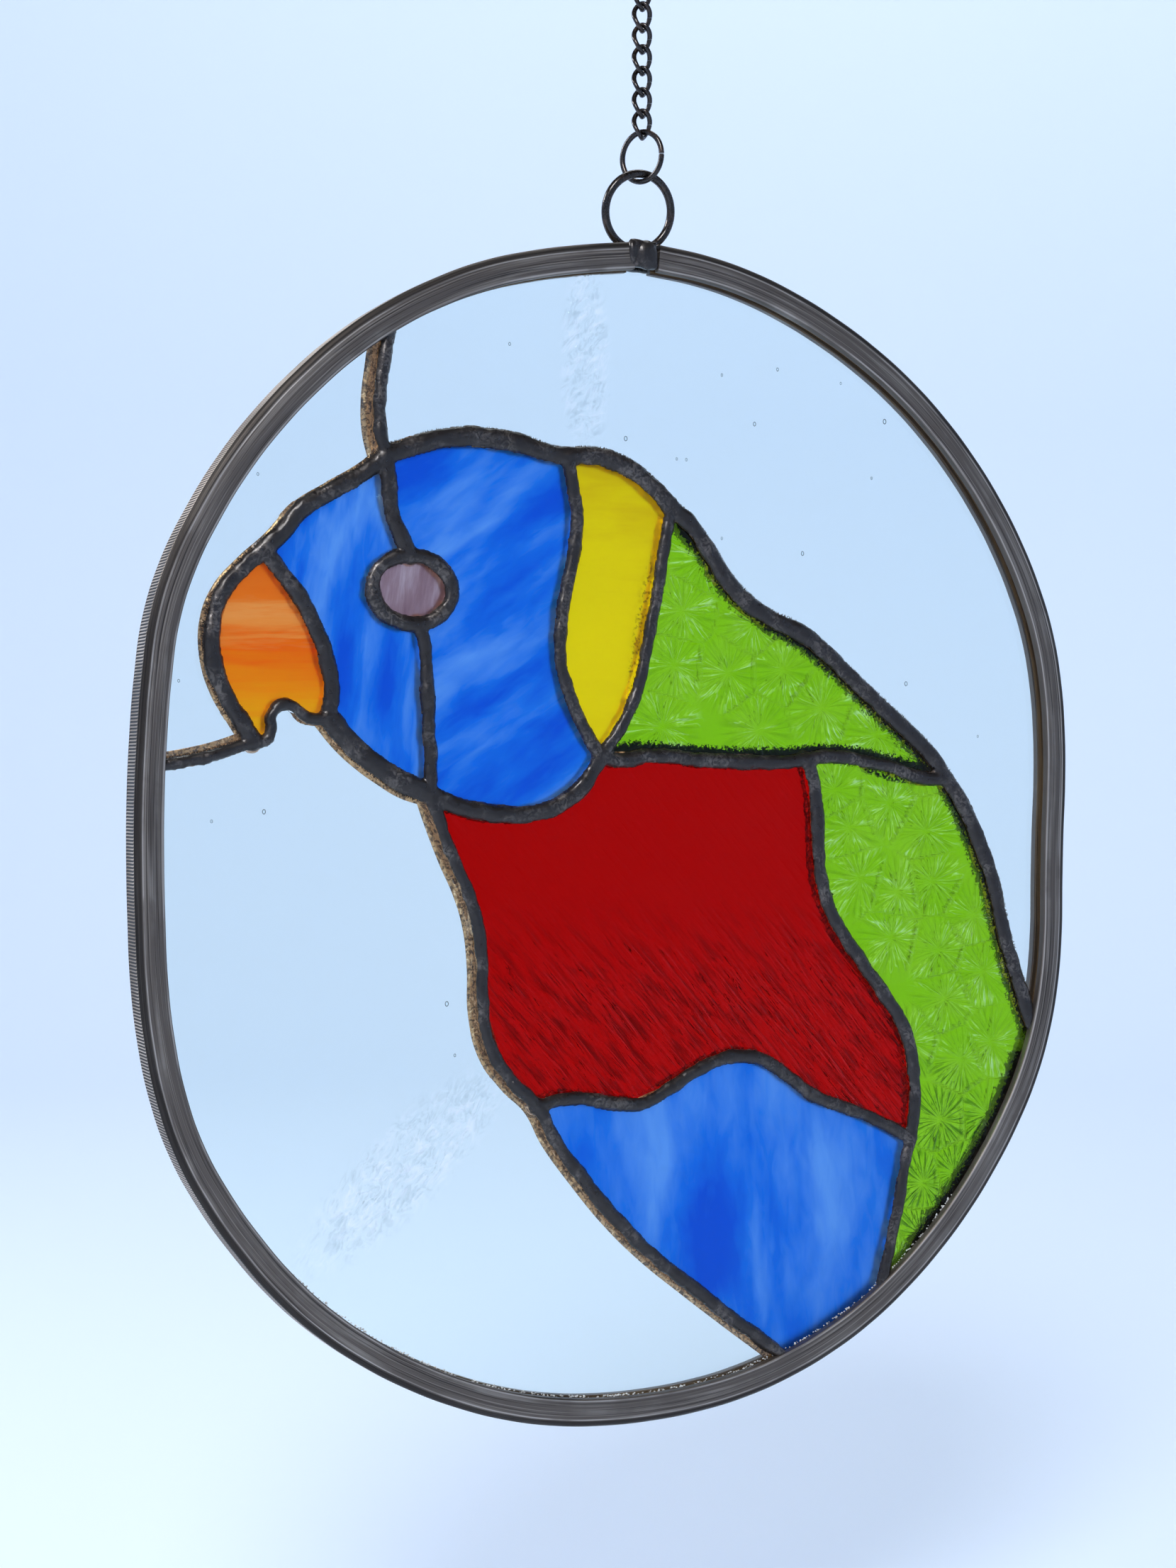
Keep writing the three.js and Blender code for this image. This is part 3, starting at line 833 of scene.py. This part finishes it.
STREAKS = streaks_group()


def drawn_out(coords, turn, size, swirl):
    """The streaks turned on the panel, with their size across and along in mm."""
    size = (size[0] * MM, STREAK_DEPTH, size[1] * MM)
    inputs = {"Vector": coords, "Turn": (0, turn, 0), "Size": size, "Swirl": swirl}
    return use_group(STREAKS, inputs)


def patch(coords, spot, reach, turn=0.0):
    """A soft oval patch on the panel: 1 in its middle, 0 at its edge."""
    inputs = {
        "Vector": coords, "Location": PANEL_MIDDLE + Vector((spot[0], 0, spot[1])) * MM,
        "Rotation": (0, turn, 0), "Scale": (reach[0] * MM, 1, reach[1] * MM),
    }
    local = fed("Mapping", inputs, vector_type="TEXTURE").outputs[0]
    return fed("TexGradient", {"Vector": local}, gradient_type="SPHERICAL").outputs["Fac"]


def streaky(coords, turn, size):
    """Wisps and threads added up, about 0.5 on the whole."""
    drawn = drawn_out(coords, turn, size, 0.8)
    fine = times(maths("SUBTRACT", drawn["Threads"], 0.5), THREAD_SHARE)
    return plus(drawn["Wisps"], fine)


def rolled_opal(coords, shader, shade, stops):
    """Colours spread over a shade, under a gently rolled surface."""
    feed(shader, {
        "Base Color": ramp(shade, stops),
        "Normal": bump(noise_of(coords, 260.0, 2.0), ROLLED_RELIEF),
    })


def blue_glass(name, turn, size, patches):
    """Blue glass, paler or deeper in patches: each one's place, reach, turn and strength."""
    made, tree, shader = new_material(name, OPAL)
    coords = object_coords(tree)
    shade = streaky(coords, turn, size)
    for spot, reach, lie, strength in patches:
        shade = plus(shade, times(patch(coords, spot, reach, lie), strength))
    stops = [(0.26, BLUE_DEEP), (0.46, BLUE), (0.78, BLUE_PALE)]
    rolled_opal(coords, shader, shade, stops)
    return made


def banded_glass(name, stops, low, high, turn, size, wander):
    """Glass whose colour changes from the bottom of the pane to its top, in streaks."""
    made, tree, shader = new_material(name, OPAL)
    coords = object_coords(tree)
    rise = fed("MapRange", {
        "Value": axis_of(coords, "Z"), "From Min": PANEL_MIDDLE.z + low * MM,
        "From Max": PANEL_MIDDLE.z + high * MM,
    }).outputs[0]
    drawn = maths("SUBTRACT", streaky(coords, turn, size), 0.5)
    shade = plus(rise, times(drawn, wander))
    rolled_opal(coords, shader, shade, stops)
    return made


def glaze(node, finish):
    """A pane's own CAD solid given its glass."""
    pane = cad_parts[node]
    pane.data.materials.clear()
    pane.data.materials.append(finish)


steep = math.radians(8)
slanted = math.radians(56)
level = math.radians(88)
opal_panes = {
    "glass_head": blue_glass("blue_head_glass", slanted, (7, 26), [
        ((-24, 55), (3.5, 22), slanted, -0.30), ((-44, 63), (5, 12), slanted, -0.25),
        ((-24, 15), (9, 22), slanted, -0.28), ((-34, 49), (5, 14), slanted, 0.18),
        ((-28, 34), (5, 20), slanted, 0.22), ((-22, 41), (4, 14), slanted, -0.12),
        ((-12.5, 19), (3, 8), slanted, 0.25),
    ]),
    "glass_face": blue_glass("blue_face_glass", steep, (5, 22), [
        ((-69, 47), (4, 9), steep, -0.35), ((-54, 60), (6, 7), 0.0, 0.18),
        ((-60, 50), (7, 9), 0.0, 0.12), ((-50, 26), (4, 10), steep, -0.25),
        ((-58, 28), (2.5, 8), steep, -0.2), ((-55, 33), (2, 12), steep, 0.12),
    ]),
    "glass_belly": blue_glass("blue_belly_glass", math.radians(-4), (10, 34), [
        ((14, -76), (9, 17), math.radians(24), -0.38), ((-13, -57), (4, 9), 0.1, -0.15),
        ((4, -55), (14, 16), 0.0, 0.20), ((38, -62), (12, 18), 0.0, 0.20),
        ((30, -88), (5, 12), 0.0, -0.10), ((22, -48), (14, 10), 0.0, 0.12),
    ]),
    "glass_beak": banded_glass("orange_beak_glass", [
        (0.0, (1.0, 0.52, 0.002)), (0.24, (1.0, 0.32, 0.002)), (0.50, (0.98, 0.14, 0.001)),
        (0.585, (0.99, 0.31, 0.045)), (0.66, (1.0, 0.36, 0.07)), (0.74, (0.97, 0.20, 0.01)),
        (1.0, (0.93, 0.16, 0.006)),
    ], 16, 48, level, (1.6, 22), 0.34),
    "glass_collar": banded_glass("yellow_collar_glass", [
        (0.0, (0.93, 0.70, 0.0)), (0.35, (0.97, 0.75, 0.0)), (0.7, (0.93, 0.72, 0.0)),
        (1.0, (0.80, 0.55, 0.0)),
    ], 12, 66, level, (5, 26), 0.7),
    "glass_eye": banded_glass("mauve_eye_glass", [
        (0.0, (0.17, 0.085, 0.10)), (0.5, (0.31, 0.19, 0.215)), (1.0, (0.60, 0.48, 0.52)),
    ], 22, 62, steep, (1.8, 12), 1.6),
}


def speck_collar():
    """Brown flecks of flux caught in the yellow pane along its right-hand seam."""
    tree = opal_panes["glass_collar"].node_tree
    shader = tree.nodes["Principled BSDF"]
    coords = object_coords(tree)
    strip = fade(patch(coords, (-1.2, 33), (2.6, 22), math.radians(9)), 0.05, 0.4)
    flecks = times(strip, fade(noise_of(coords, 1400.0, 3.0), 0.52, 0.62))
    yellow = shader.inputs["Base Color"].links[0].from_socket
    feed(shader, {"Base Color": mix(flecks, yellow, FLUX_BROWN)})


speck_collar()
for node, finish in opal_panes.items():
    glaze(node, finish)

# -------- pressed green glass
#
# The wing is bright green glass rolled over a figured plate that pressed bursts of fine
# radial ridges into it, side by side, so light breaks up along the ridges.

GREEN = (0.265, 0.62, 0.003)
GREEN_SOFT = (0.33, 0.66, 0.015)
GREEN_PAINTED_SOFT_SHADE = (0.075, 0.27, 0.002)
GREEN_PAINTED_HIGHLIGHT = (0.62, 0.92, 0.36)
GREEN_PAINTED_SHADE = (0.03, 0.13, 0.001)
SNAG_BLACK = (0.003, 0.006, 0.002)
SNAG_REACH = 1.6 * MM
LIP_REACH = CAME_FACE - CAME_WALL + 0.9 * MM
SNAG_RAGGED = 3.5 * MM
PRESSED_STRETCH = 0.4 * MM
RIDGE_HEIGHT = 0.09 * MM
RIDGES = 17
OUTLINE_STEP = 12 * MM
BURST_EYE = 0.6 * MM
BURST_RISE = 1.6 * MM
BURST_REACH = 9 * MM
BURST_FADE = 3 * MM
BURST_GAP = 1.3 * MM
RAYS = 11
RAY_SPREAD = 5.5
RAY_RELIEF = 0.3 * MM

burst_middles = [
    (7.5, 40.4), (5.8, 30.6), (17.1, 29.3), (3.2, 19.3), (23.8, 18.7), (37.5, 23.1), (22.5, 38.5),
    (29, 30), (50, 18), (12, 50), (60, 13), (40.5, 7.6), (44, 0.5), (53, 5), (61.5, -0.4),
    (46.2, -9.1), (63, -10.1), (55, -12), (53.4, -20.7), (64.5, -23.5), (73, -17), (75, -28),
    (66, -33), (57.8, -40.9), (70, -45), (77, -42), (64.9, -56.5), (76, -56), (60.8, -68.4),
    (68, -67), (55, -82), (60, -78),
]


def burst_finder():
    tree = kdtree.KDTree(len(burst_middles))
    for i, (x, y) in enumerate(burst_middles):
        tree.insert(PANEL_MIDDLE + Vector((x * MM, 0, y * MM)), i)
    tree.balance()
    return tree


def off_outline(place):
    """How far a place is from the came's outer edge."""
    here = Vector((place.x - PANEL_MIDDLE.x, place.z - PANEL_MIDDLE.z))
    return min(
        (here - intersect_point_line(here, start, end)[0]).length
        for start, end in zip(outline, outline[1:])
        if abs(here.y - start[1]) < OUTLINE_STEP
    )


def pressed_pane(name, node):
    """A pane remeshed finely, with what lies round each of its points kept on it.

    rim is the distance to the pane's edge, snag is how far its figure runs ragged along
    that edge, spoke points from the nearest burst's middle, and swell says how strongly
    that burst is pressed there.
    """
    pane = new_piece(name, cad_copy(node))
    modify(pane, ("REMESH", {"mode": "VOXEL", "voxel_size": PRESSED_STRETCH}))
    bm = bmesh.new()
    bm.from_mesh(pane.data)
    edge = [v.co for v in bm.verts if abs(v.co.y - PANEL_MIDDLE.y) < GLASS_HALF / 2]
    finder = kdtree.KDTree(len(edge))
    in_came = []
    for i, place in enumerate(edge):
        finder.insert((place.x, PANEL_MIDDLE.y, place.z), i)
        in_came.append(off_outline(place) < 2 * CAME_WALL)
    finder.balance()
    bursts = burst_finder()
    rim = bm.verts.layers.float.new("rim")
    snag = bm.verts.layers.float.new("snag")
    spoke = bm.verts.layers.float_vector.new("spoke")
    swell = bm.verts.layers.float.new("swell")
    for v in bm.verts:
        flat = Vector((v.co.x, PANEL_MIDDLE.y, v.co.z))
        nearest, place, v[rim] = finder.find(flat)
        towards = (nearest - flat).normalized()
        ragged = towards.x > 0.25 or towards.z < -0.85
        v[snag] = LIP_REACH if in_came[place] else SNAG_REACH * ragged
        (middle, _, reach), (_, _, next_reach) = bursts.find_n(flat, 2)
        arm = flat - middle
        v[spoke] = (arm.x, arm.z, middle.x * 100)
        rise = min(max((reach - BURST_EYE) / BURST_RISE, 0), 1)
        fall = min(max((BURST_REACH - reach) / BURST_FADE, 0), 1)
        v[swell] = rise * fall * min((next_reach - reach) / BURST_GAP, 1)
        side = v.co.y - PANEL_MIDDLE.y
        if abs(side) > GLASS_HALF * 0.9:
            ridge = math.cos(RIDGES * math.atan2(arm.z, arm.x) + 3 * noise.noise(middle * 300))
            lift = RIDGE_HEIGHT * (ridge * v[swell] + 0.8 * noise.noise(flat * 500))
            v.co.y += math.copysign(lift, side)
    bm.to_mesh(pane.data)
    bm.free()
    return pane


def burst_rays(tree):
    """Fine lines fanning out from each burst's middle: masks by kind for their painted highlights
    and painted shade, and their relief.
    """
    swell = attribute(tree, "swell")
    arm = fed("SeparateXYZ", {0: attribute(tree, "spoke", "Vector")}).outputs
    angle = maths("ARCTAN2", arm["Y"], arm["X"])
    flat_arm = fed("CombineXYZ", {0: arm["X"], 1: arm["Y"]}).outputs[0]
    far = fed("VectorMath", {0: flat_arm}, operation="LENGTH").outputs["Value"]
    fan = fed("CombineXYZ", {
        0: times(maths("COSINE", angle), RAY_SPREAD),
        1: times(maths("SINE", angle), RAY_SPREAD),
        2: plus(arm["Z"], times(far, 170.0)),
    }).outputs[0]
    lines = noise_of(fan, 1.0, 1.0)
    ridge = maths("ABSOLUTE", maths("SUBTRACT", lines, 0.5))
    broken = fade(noise_of(fan, 0.45, 0.0), 0.46, 0.58)
    sway = times(noise_of(fan, 0.4, 0.0), 5.0)
    comb = maths("SINE", plus(times(angle, RAYS), sway))
    rays = {
        "bright": times(fade(ridge, 0.012, 0.045, 1.0, 0.0), broken),
        "soft": fade(lines, 0.45, 0.33),
        "dark": fade(maths("ABSOLUTE", comb), 0.22, 0.48, 1.0, 0.0),
        "relief": lines,
    }
    return {kind: times(mask, swell) for kind, mask in rays.items()}


def green_finish():
    plain = {
        "Roughness": 0.16, "IOR": 1.5, "Specular Tint": SOFT_SHINE, "Transmission Weight": 0.88,
    }
    made, tree, shader = new_material("pressed_green_glass", plain)
    coords = object_coords(tree)
    rays = burst_rays(tree)
    softer = fade(noise_of(coords, 110.0, 2.0), 0.4, 0.65, 0.0, 0.5)
    colour = mix(softer, GREEN, GREEN_SOFT)

    # Above, the rays carry painted highlights; towards the tail they carry painted shade.
    low_wing = fade(patch(coords, (63, -63), (17, 24)), 0.1, 0.4)
    shades = [
        ("soft", 0.15, 0.6, GREEN_PAINTED_SOFT_SHADE), ("bright", 0.8, 0.1, GREEN_PAINTED_HIGHLIGHT),
        ("dark", 0.24, 0.9, GREEN_PAINTED_SHADE),
    ]
    for kind, above, below, shade in shades:
        share = times(rays[kind], fade(low_wing, 0.0, 1.0, above, below))
        colour = mix(share, colour, shade)

    # Ragged black marks along the pane's edges, widest along its right-hand and lower edges and
    # beside the came.
    ragged = maths("SUBTRACT", noise_of(coords, 2300.0, 2.0), 0.5)
    edge = plus(attribute(tree, "rim"), times(ragged, SNAG_RAGGED))
    bite = maths("SUBTRACT", edge, attribute(tree, "snag"))
    feed(shader, {
        "Base Color": mix(fade(bite, 0.1 * MM, 0.0), colour, SNAG_BLACK),
        "Normal": bump(rays["relief"], RAY_RELIEF),
    })
    return made


pressed_green = green_finish()
pressed_panes = {
    "upper_wing_glass": "glass_wing_upper",
    "lower_wing_glass": "glass_wing_lower",
}
for name, node in pressed_panes.items():
    pane = pressed_pane(name, node)
    smooth(pane, 60)
    dress(pane, pressed_green, "green_glass", node)

# -------- red breast glass
#
# The breast is deep red cathedral glass, clear all through, with hammered ripples that run
# down to the right and grow stronger towards the belly.

RED = (0.48, 0.0006, 0.0004)
RED_PAINTED_SHADE = (0.20, 0.0, 0.0)
RED_PAINTED_GLINT = (0.75, 0.01, 0.06)
DEEP_SHINE = (0.10, 0.10, 0.10)
RIPPLE_TURN = math.radians(-42)
RIPPLE_RELIEF = 0.5 * MM


def red_finish():
    plain = {
        "Roughness": 0.10, "IOR": 1.5, "Specular Tint": DEEP_SHINE, "Transmission Weight": 0.99,
    }
    made, tree, shader = new_material("red_cathedral_glass", plain)
    coords = object_coords(tree)
    ripples = drawn_out(coords, RIPPLE_TURN, (0.9, 9), 0.5)
    height = axis_of(coords, "Z")
    # Painted shade in the ripples' troughs, over the lower part of the pane.
    lower = fade(height, PANEL_MIDDLE.z - 8 * MM, PANEL_MIDDLE.z - 32 * MM)
    painted_trough_shade = times(fade(ripples["Wisps"], 0.5, 0.36), lower)
    colour = mix(painted_trough_shade, RED, RED_PAINTED_SHADE)
    # Painted glints along the finest ripples.
    painted_red_glints = times(fade(ripples["Threads"], 0.66, 0.74), 0.7)
    relief = times(ripples["Wisps"], plus(lower, 0.25))
    feed(shader, {
        "Base Color": mix(painted_red_glints, colour, RED_PAINTED_GLINT),
        "Normal": bump(relief, RIPPLE_RELIEF),
    })
    return made


glaze("glass_breast", red_finish())

# -------- clear glass and bubbles
#
# The background panes are clear drawn glass, faintly grey-green, with reamy ripples and a
# few seed bubbles caught in them.

CLEAR = (0.85, 0.925, 0.915)
CLEAR_PAINTED_SHADE = (0.52, 0.62, 0.64)
REAM_RELIEF = 0.22 * MM
REAM_EVERYWHERE = 0.03
BUBBLE_RADIUS = 0.36 * MM
BUBBLE_STRETCH = (1, 1.35, 0.8)
BUBBLE_PAINTED_RIM_SHADE = (0.02, 0.03, 0.03)
BUBBLE_CLEAR = (0.95, 0.98, 0.98)


def clear_finish():
    plain = {"Roughness": 0.0, "IOR": 1.5, "Transmission Weight": 1.0}
    made, tree, shader = new_material("clear_drawn_glass", plain)
    coords = object_coords(tree)
    ripples = drawn_out(coords, math.radians(35), (1.6, 3.2), 1.5)["Wisps"]
    # Painted reflections: in a band low on the left and a column at the top, where the ream's
    # relief is stronger, the ripples' creases get painted shade and their crests a painted
    # highlight.
    band = fade(patch(coords, (-47, -57), (11, 36), math.radians(50)), 0.1, 0.7)
    column = fade(patch(coords, (-12, 84), (6, 22)), 0.05, 0.5)
    strength = plus(maths("MAXIMUM", band, column), REAM_EVERYWHERE)
    painted_crease_shade = times(fade(ripples, 0.54, 0.66), fade(strength, REAM_EVERYWHERE, 1.0, 0.0, 0.6))
    painted_crest_highlights = times(fade(ripples, 0.46, 0.36), fade(strength, REAM_EVERYWHERE, 1.0, 0.0, 0.9))
    colour = mix(painted_crease_shade, CLEAR, CLEAR_PAINTED_SHADE)
    feed(shader, {
        "Base Color": mix(painted_crest_highlights, colour, (1.0, 1.0, 1.0)),
        "Normal": bump(times(ripples, strength), REAM_RELIEF),
    })
    return made


clear_glass = clear_finish()
for node in ("glass_clear_upper_left", "glass_clear_right", "glass_clear_lower_left"):
    glaze(node, clear_glass)

bubble_spots = [
    (-72, 4.5), (-81, 3), (-86.5, 26), (-39, -29), (-37.5, -38), (16, 54), (33.5, 52), (8.5, 68),
    (6.5, 68), (23, 75.5), (28, 86), (16, 84), (52, 78), (42, 84.5), (49, 67), (57, 28), (74, 18),
    (-27, 86), (-4, 71), (-73, 60.5),
]
bm = bmesh.new()
for i, (x, y) in enumerate(in_metres(bubble_spots)):
    size = 0.6 + 0.6 * noise.noise(Vector((i * 1.7, 0.5, 0.5))) ** 2 + 0.3 * (i % 3 == 0)
    bubble = bmesh.ops.create_icosphere(bm, subdivisions=2, radius=BUBBLE_RADIUS * size)["verts"]
    bmesh.ops.scale(bm, verts=bubble, vec=BUBBLE_STRETCH)
    bmesh.ops.translate(bm, verts=bubble, vec=(x, y, GLASS_HALF * 0.3))
bubbles = new_piece("seed_bubbles", bm)
bubbles.data.transform(STAND)
smooth(bubbles, 180)
bubble_air, tree, shader = new_material("bubble_air", {
    "Roughness": 0.0, "IOR": 1.02, "Transmission Weight": 1.0,
})
# Painted shade: each bubble darkens towards its rim, where it is seen edge-on.
skin = fade(add(tree, "LayerWeight", {"Blend": 0.5}).outputs["Facing"], 0.1, 0.35)
feed(shader, {"Base Color": mix(skin, BUBBLE_CLEAR, BUBBLE_PAINTED_RIM_SHADE)})
dress(bubbles, bubble_air, "clear_glass")

# -------- flux and cement
#
# Years of cleaning left brown flux as a ragged fringe along the seams beside the clear
# glass, and grains of whitish glazing cement along the came's inner edge at the bottom.

FLUX_DARK = (0.045, 0.032, 0.024)
CEMENT_WHITE = (0.85, 0.84, 0.80)
BRISTLE = 0.11 * MM
BRISTLE_FAN = 1.4
BRISTLES = 3
MISSING = 0.25
GRAIN = 0.15 * MM
GRAIN_SHAPE = (1.5, 1, 0.6)
GRAINS = 26
GRAIN_DEPTH = 0.35 * MM
CEMENT_TOP = -74 * MM

# Each fringe: the seam it follows, and how far from the seam's middle it starts, in mm.
fringes = {"crown": 1.55, "back": 1.45, "forehead": -1.4, "throat_line": -1.75, "left_line": -0.95}


def points_along(points):
    """Close points along the smooth line through a few, each with the line's run there."""
    line = curve_through("line", in_metres(points))
    graph = bpy.context.evaluated_depsgraph_get()
    mesh = bpy.data.meshes.new_from_object(line.evaluated_get(graph))
    places = [v.co.copy() for v in mesh.vertices]
    bpy.data.objects.remove(line)
    return [(here, (after - here).normalized()) for here, after in zip(places, places[1:])]


def bristle_fringe():
    bm = bmesh.new()
    for seam, start in fringes.items():
        side = math.copysign(1, start)
        for place, run in points_along(seams[seam][1]):
            out = Vector((-run.y, run.x, 0)) * side
            for _ in range(BRISTLES):
                chance = noise.random()
                if chance < MISSING:
                    continue
                length = (0.35 + 0.75 * chance * abs(noise.noise(place * 150))) * MM
                way = out.copy()
                way.rotate(Euler((0, 0, (noise.random() - 0.5) * BRISTLE_FAN)))
                along = run * noise.random() * 0.5 * MM
                foot = place + out * (abs(start) - 0.1) * MM + along
                foot.z = GLASS_HALF + (0.05 + 0.2 * noise.random()) * MM
                turn = way.to_track_quat("Z", "Y").to_matrix().to_4x4()
                bmesh.ops.create_cone(
                    bm, segments=4, radius1=BRISTLE, radius2=BRISTLE / 5, depth=length,
                    cap_ends=True, matrix=Matrix.Translation(foot + way * length / 2) @ turn,
                )
    return bm


def cement_grains():
    bm = bmesh.new()
    rim = [Vector((x, y)) for x, y in outline if y < CEMENT_TOP]
    for here, after in zip(rim, rim[1:]):
        for _ in range(GRAINS):
            place = here.lerp(after, noise.random())
            inwards = CAME_FACE - 0.05 * MM + GRAIN_DEPTH * noise.random() ** 2
            place -= place.normalized() * inwards
            size = GRAIN * (0.45 + 0.8 * noise.random())
            grain = bmesh.ops.create_icosphere(bm, subdivisions=1, radius=size)["verts"]
            bmesh.ops.scale(bm, verts=grain, vec=GRAIN_SHAPE)
            bmesh.ops.translate(bm, verts=grain, vec=(*place, GLASS_HALF + 0.06 * MM))
    return bm


noise.seed_set(7)
leavings = (
    ("flux_fringe", bristle_fringe(), FLUX_DARK, "patina_solder"),
    ("cement_grains", cement_grains(), CEMENT_WHITE, "lead_came"),
)
for name, bm, colour, slot in leavings:
    made = new_piece(name, bm)
    made.data.transform(STAND)
    smooth(made, 50)
    finish, tree, shader = new_material(name, {"Roughness": 0.85})
    speckle = fade(noise_of(object_coords(tree), 900.0, 3.0), 0.35, 0.65)
    dim = tuple(channel / 2 for channel in colour)
    feed(shader, {"Base Color": mix(speckle, dim, colour)})
    dress(made, finish, slot)

# -------- floor, light and camera
#
# A round pale floor curves up into a pale wall on every side. One soft lamp lights the wall
# that shows through the glass, one lights the front, and a small one the edge of the lead.

STAGE_RADIUS = 1.5
STAGE_FLOOR = came_low.z - 0.075
STAGE_CURVE = 0.5
CURVE_STEPS = 12
STAGE_HEIGHT = 1.6
STAGE_FRONT = 0.6
STAGE_STEPS = 96
STAGE_COLOUR = (0.70, 0.80, 0.94)
SKY_COLOUR = (0.93, 0.96, 1.0)
SKY_STRENGTH = 0.10


def stage_dish():
    """The floor and wall in one, the wall lower in front."""
    bm = bmesh.new()
    turns = [math.pi / 2 * i / CURVE_STEPS for i in range(CURVE_STEPS + 1)]
    curve = [
        (STAGE_RADIUS - STAGE_CURVE * (1 - math.sin(turn)), STAGE_CURVE * (1 - math.cos(turn)))
        for turn in turns
    ]
    corners = [(0, 0), *curve, (STAGE_RADIUS, STAGE_HEIGHT)]
    profile = [bm.verts.new((x, 0, z)) for x, z in corners]
    edges = [bm.edges.new(pair) for pair in zip(profile, profile[1:])]
    bmesh.ops.spin(
        bm, geom=edges, cent=(0, 0, 0), axis=(0, 0, 1), angle=2 * math.pi, steps=STAGE_STEPS,
        use_merge=True,
    )
    bmesh.ops.remove_doubles(bm, verts=bm.verts[:], dist=WELD)
    bmesh.ops.recalc_face_normals(bm, faces=bm.faces[:])
    for v in bm.verts:
        v.co.z *= STAGE_FRONT + (1 - STAGE_FRONT) * (1 + v.co.y / STAGE_RADIUS) / 2
        v.co.z += STAGE_FLOOR
    return bm


floor = new_piece("floor", stage_dish())
smooth(floor, 180)
floor_paint, _, _ = new_material("pale_floor", {"Base Color": STAGE_COLOUR, "Roughness": 0.9})
floor.data.materials.append(floor_paint)

sky = bpy.data.worlds.new("soft_light")
sky.use_nodes = True
glow = {"Color": SKY_COLOUR, "Strength": SKY_STRENGTH}
feed(sky.node_tree.nodes["Background"], glow)
scene.world = sky


def soft_lamp(name, place, aim, size, power):
    """A round lamp at a place, facing another, of a width in metres and a power in watts."""
    lamp = bpy.data.lights.new(name, "AREA")
    lamp.shape = "DISK"
    lamp.size = size
    lamp.energy = power
    made = bpy.data.objects.new(name, lamp)
    made.location = place
    made.rotation_euler = (aim - made.location).to_track_quat("-Z", "Y").to_euler()
    scene.collection.objects.link(made)


soft_lamp("wall_lamp", Vector((0.4, 0.45, 1.3)), Vector((0.5, 1.3, -0.2)), 0.9, 12.5)
soft_lamp("key_lamp", Vector((-0.5, -0.7, 0.55)), PANEL_MIDDLE, 0.40, 9.0)
soft_lamp("edge_lamp", Vector((-0.7, 0.35, 0.35)), PANEL_MIDDLE, 0.25, 4.0)

CAMERA_AIM = PANEL_MIDDLE + Vector((-12.7, -3.0, 8.95)) * MM
CAMERA_AWAY = 395 * MM
CAMERA_TURN = math.radians(-27)
CAMERA_RISE = math.radians(0.39)
CAMERA_LENS = 51.15
FILM_HEIGHT = 36.0

back = Matrix.Rotation(CAMERA_TURN, 3, "Z") @ Vector((
    0, -math.cos(CAMERA_RISE), math.sin(CAMERA_RISE),
))
lens = bpy.data.cameras.new("camera")
lens.lens = CAMERA_LENS
lens.sensor_fit = "VERTICAL"
lens.sensor_height = FILM_HEIGHT
lens.clip_start = 0.01
camera = bpy.data.objects.new("camera", lens)
camera.location = CAMERA_AIM + back * CAMERA_AWAY
camera.rotation_euler = back.to_track_quat("Z", "Y").to_euler()
scene.collection.objects.link(camera)
scene.camera = camera
scene.view_settings.view_transform = "Standard"
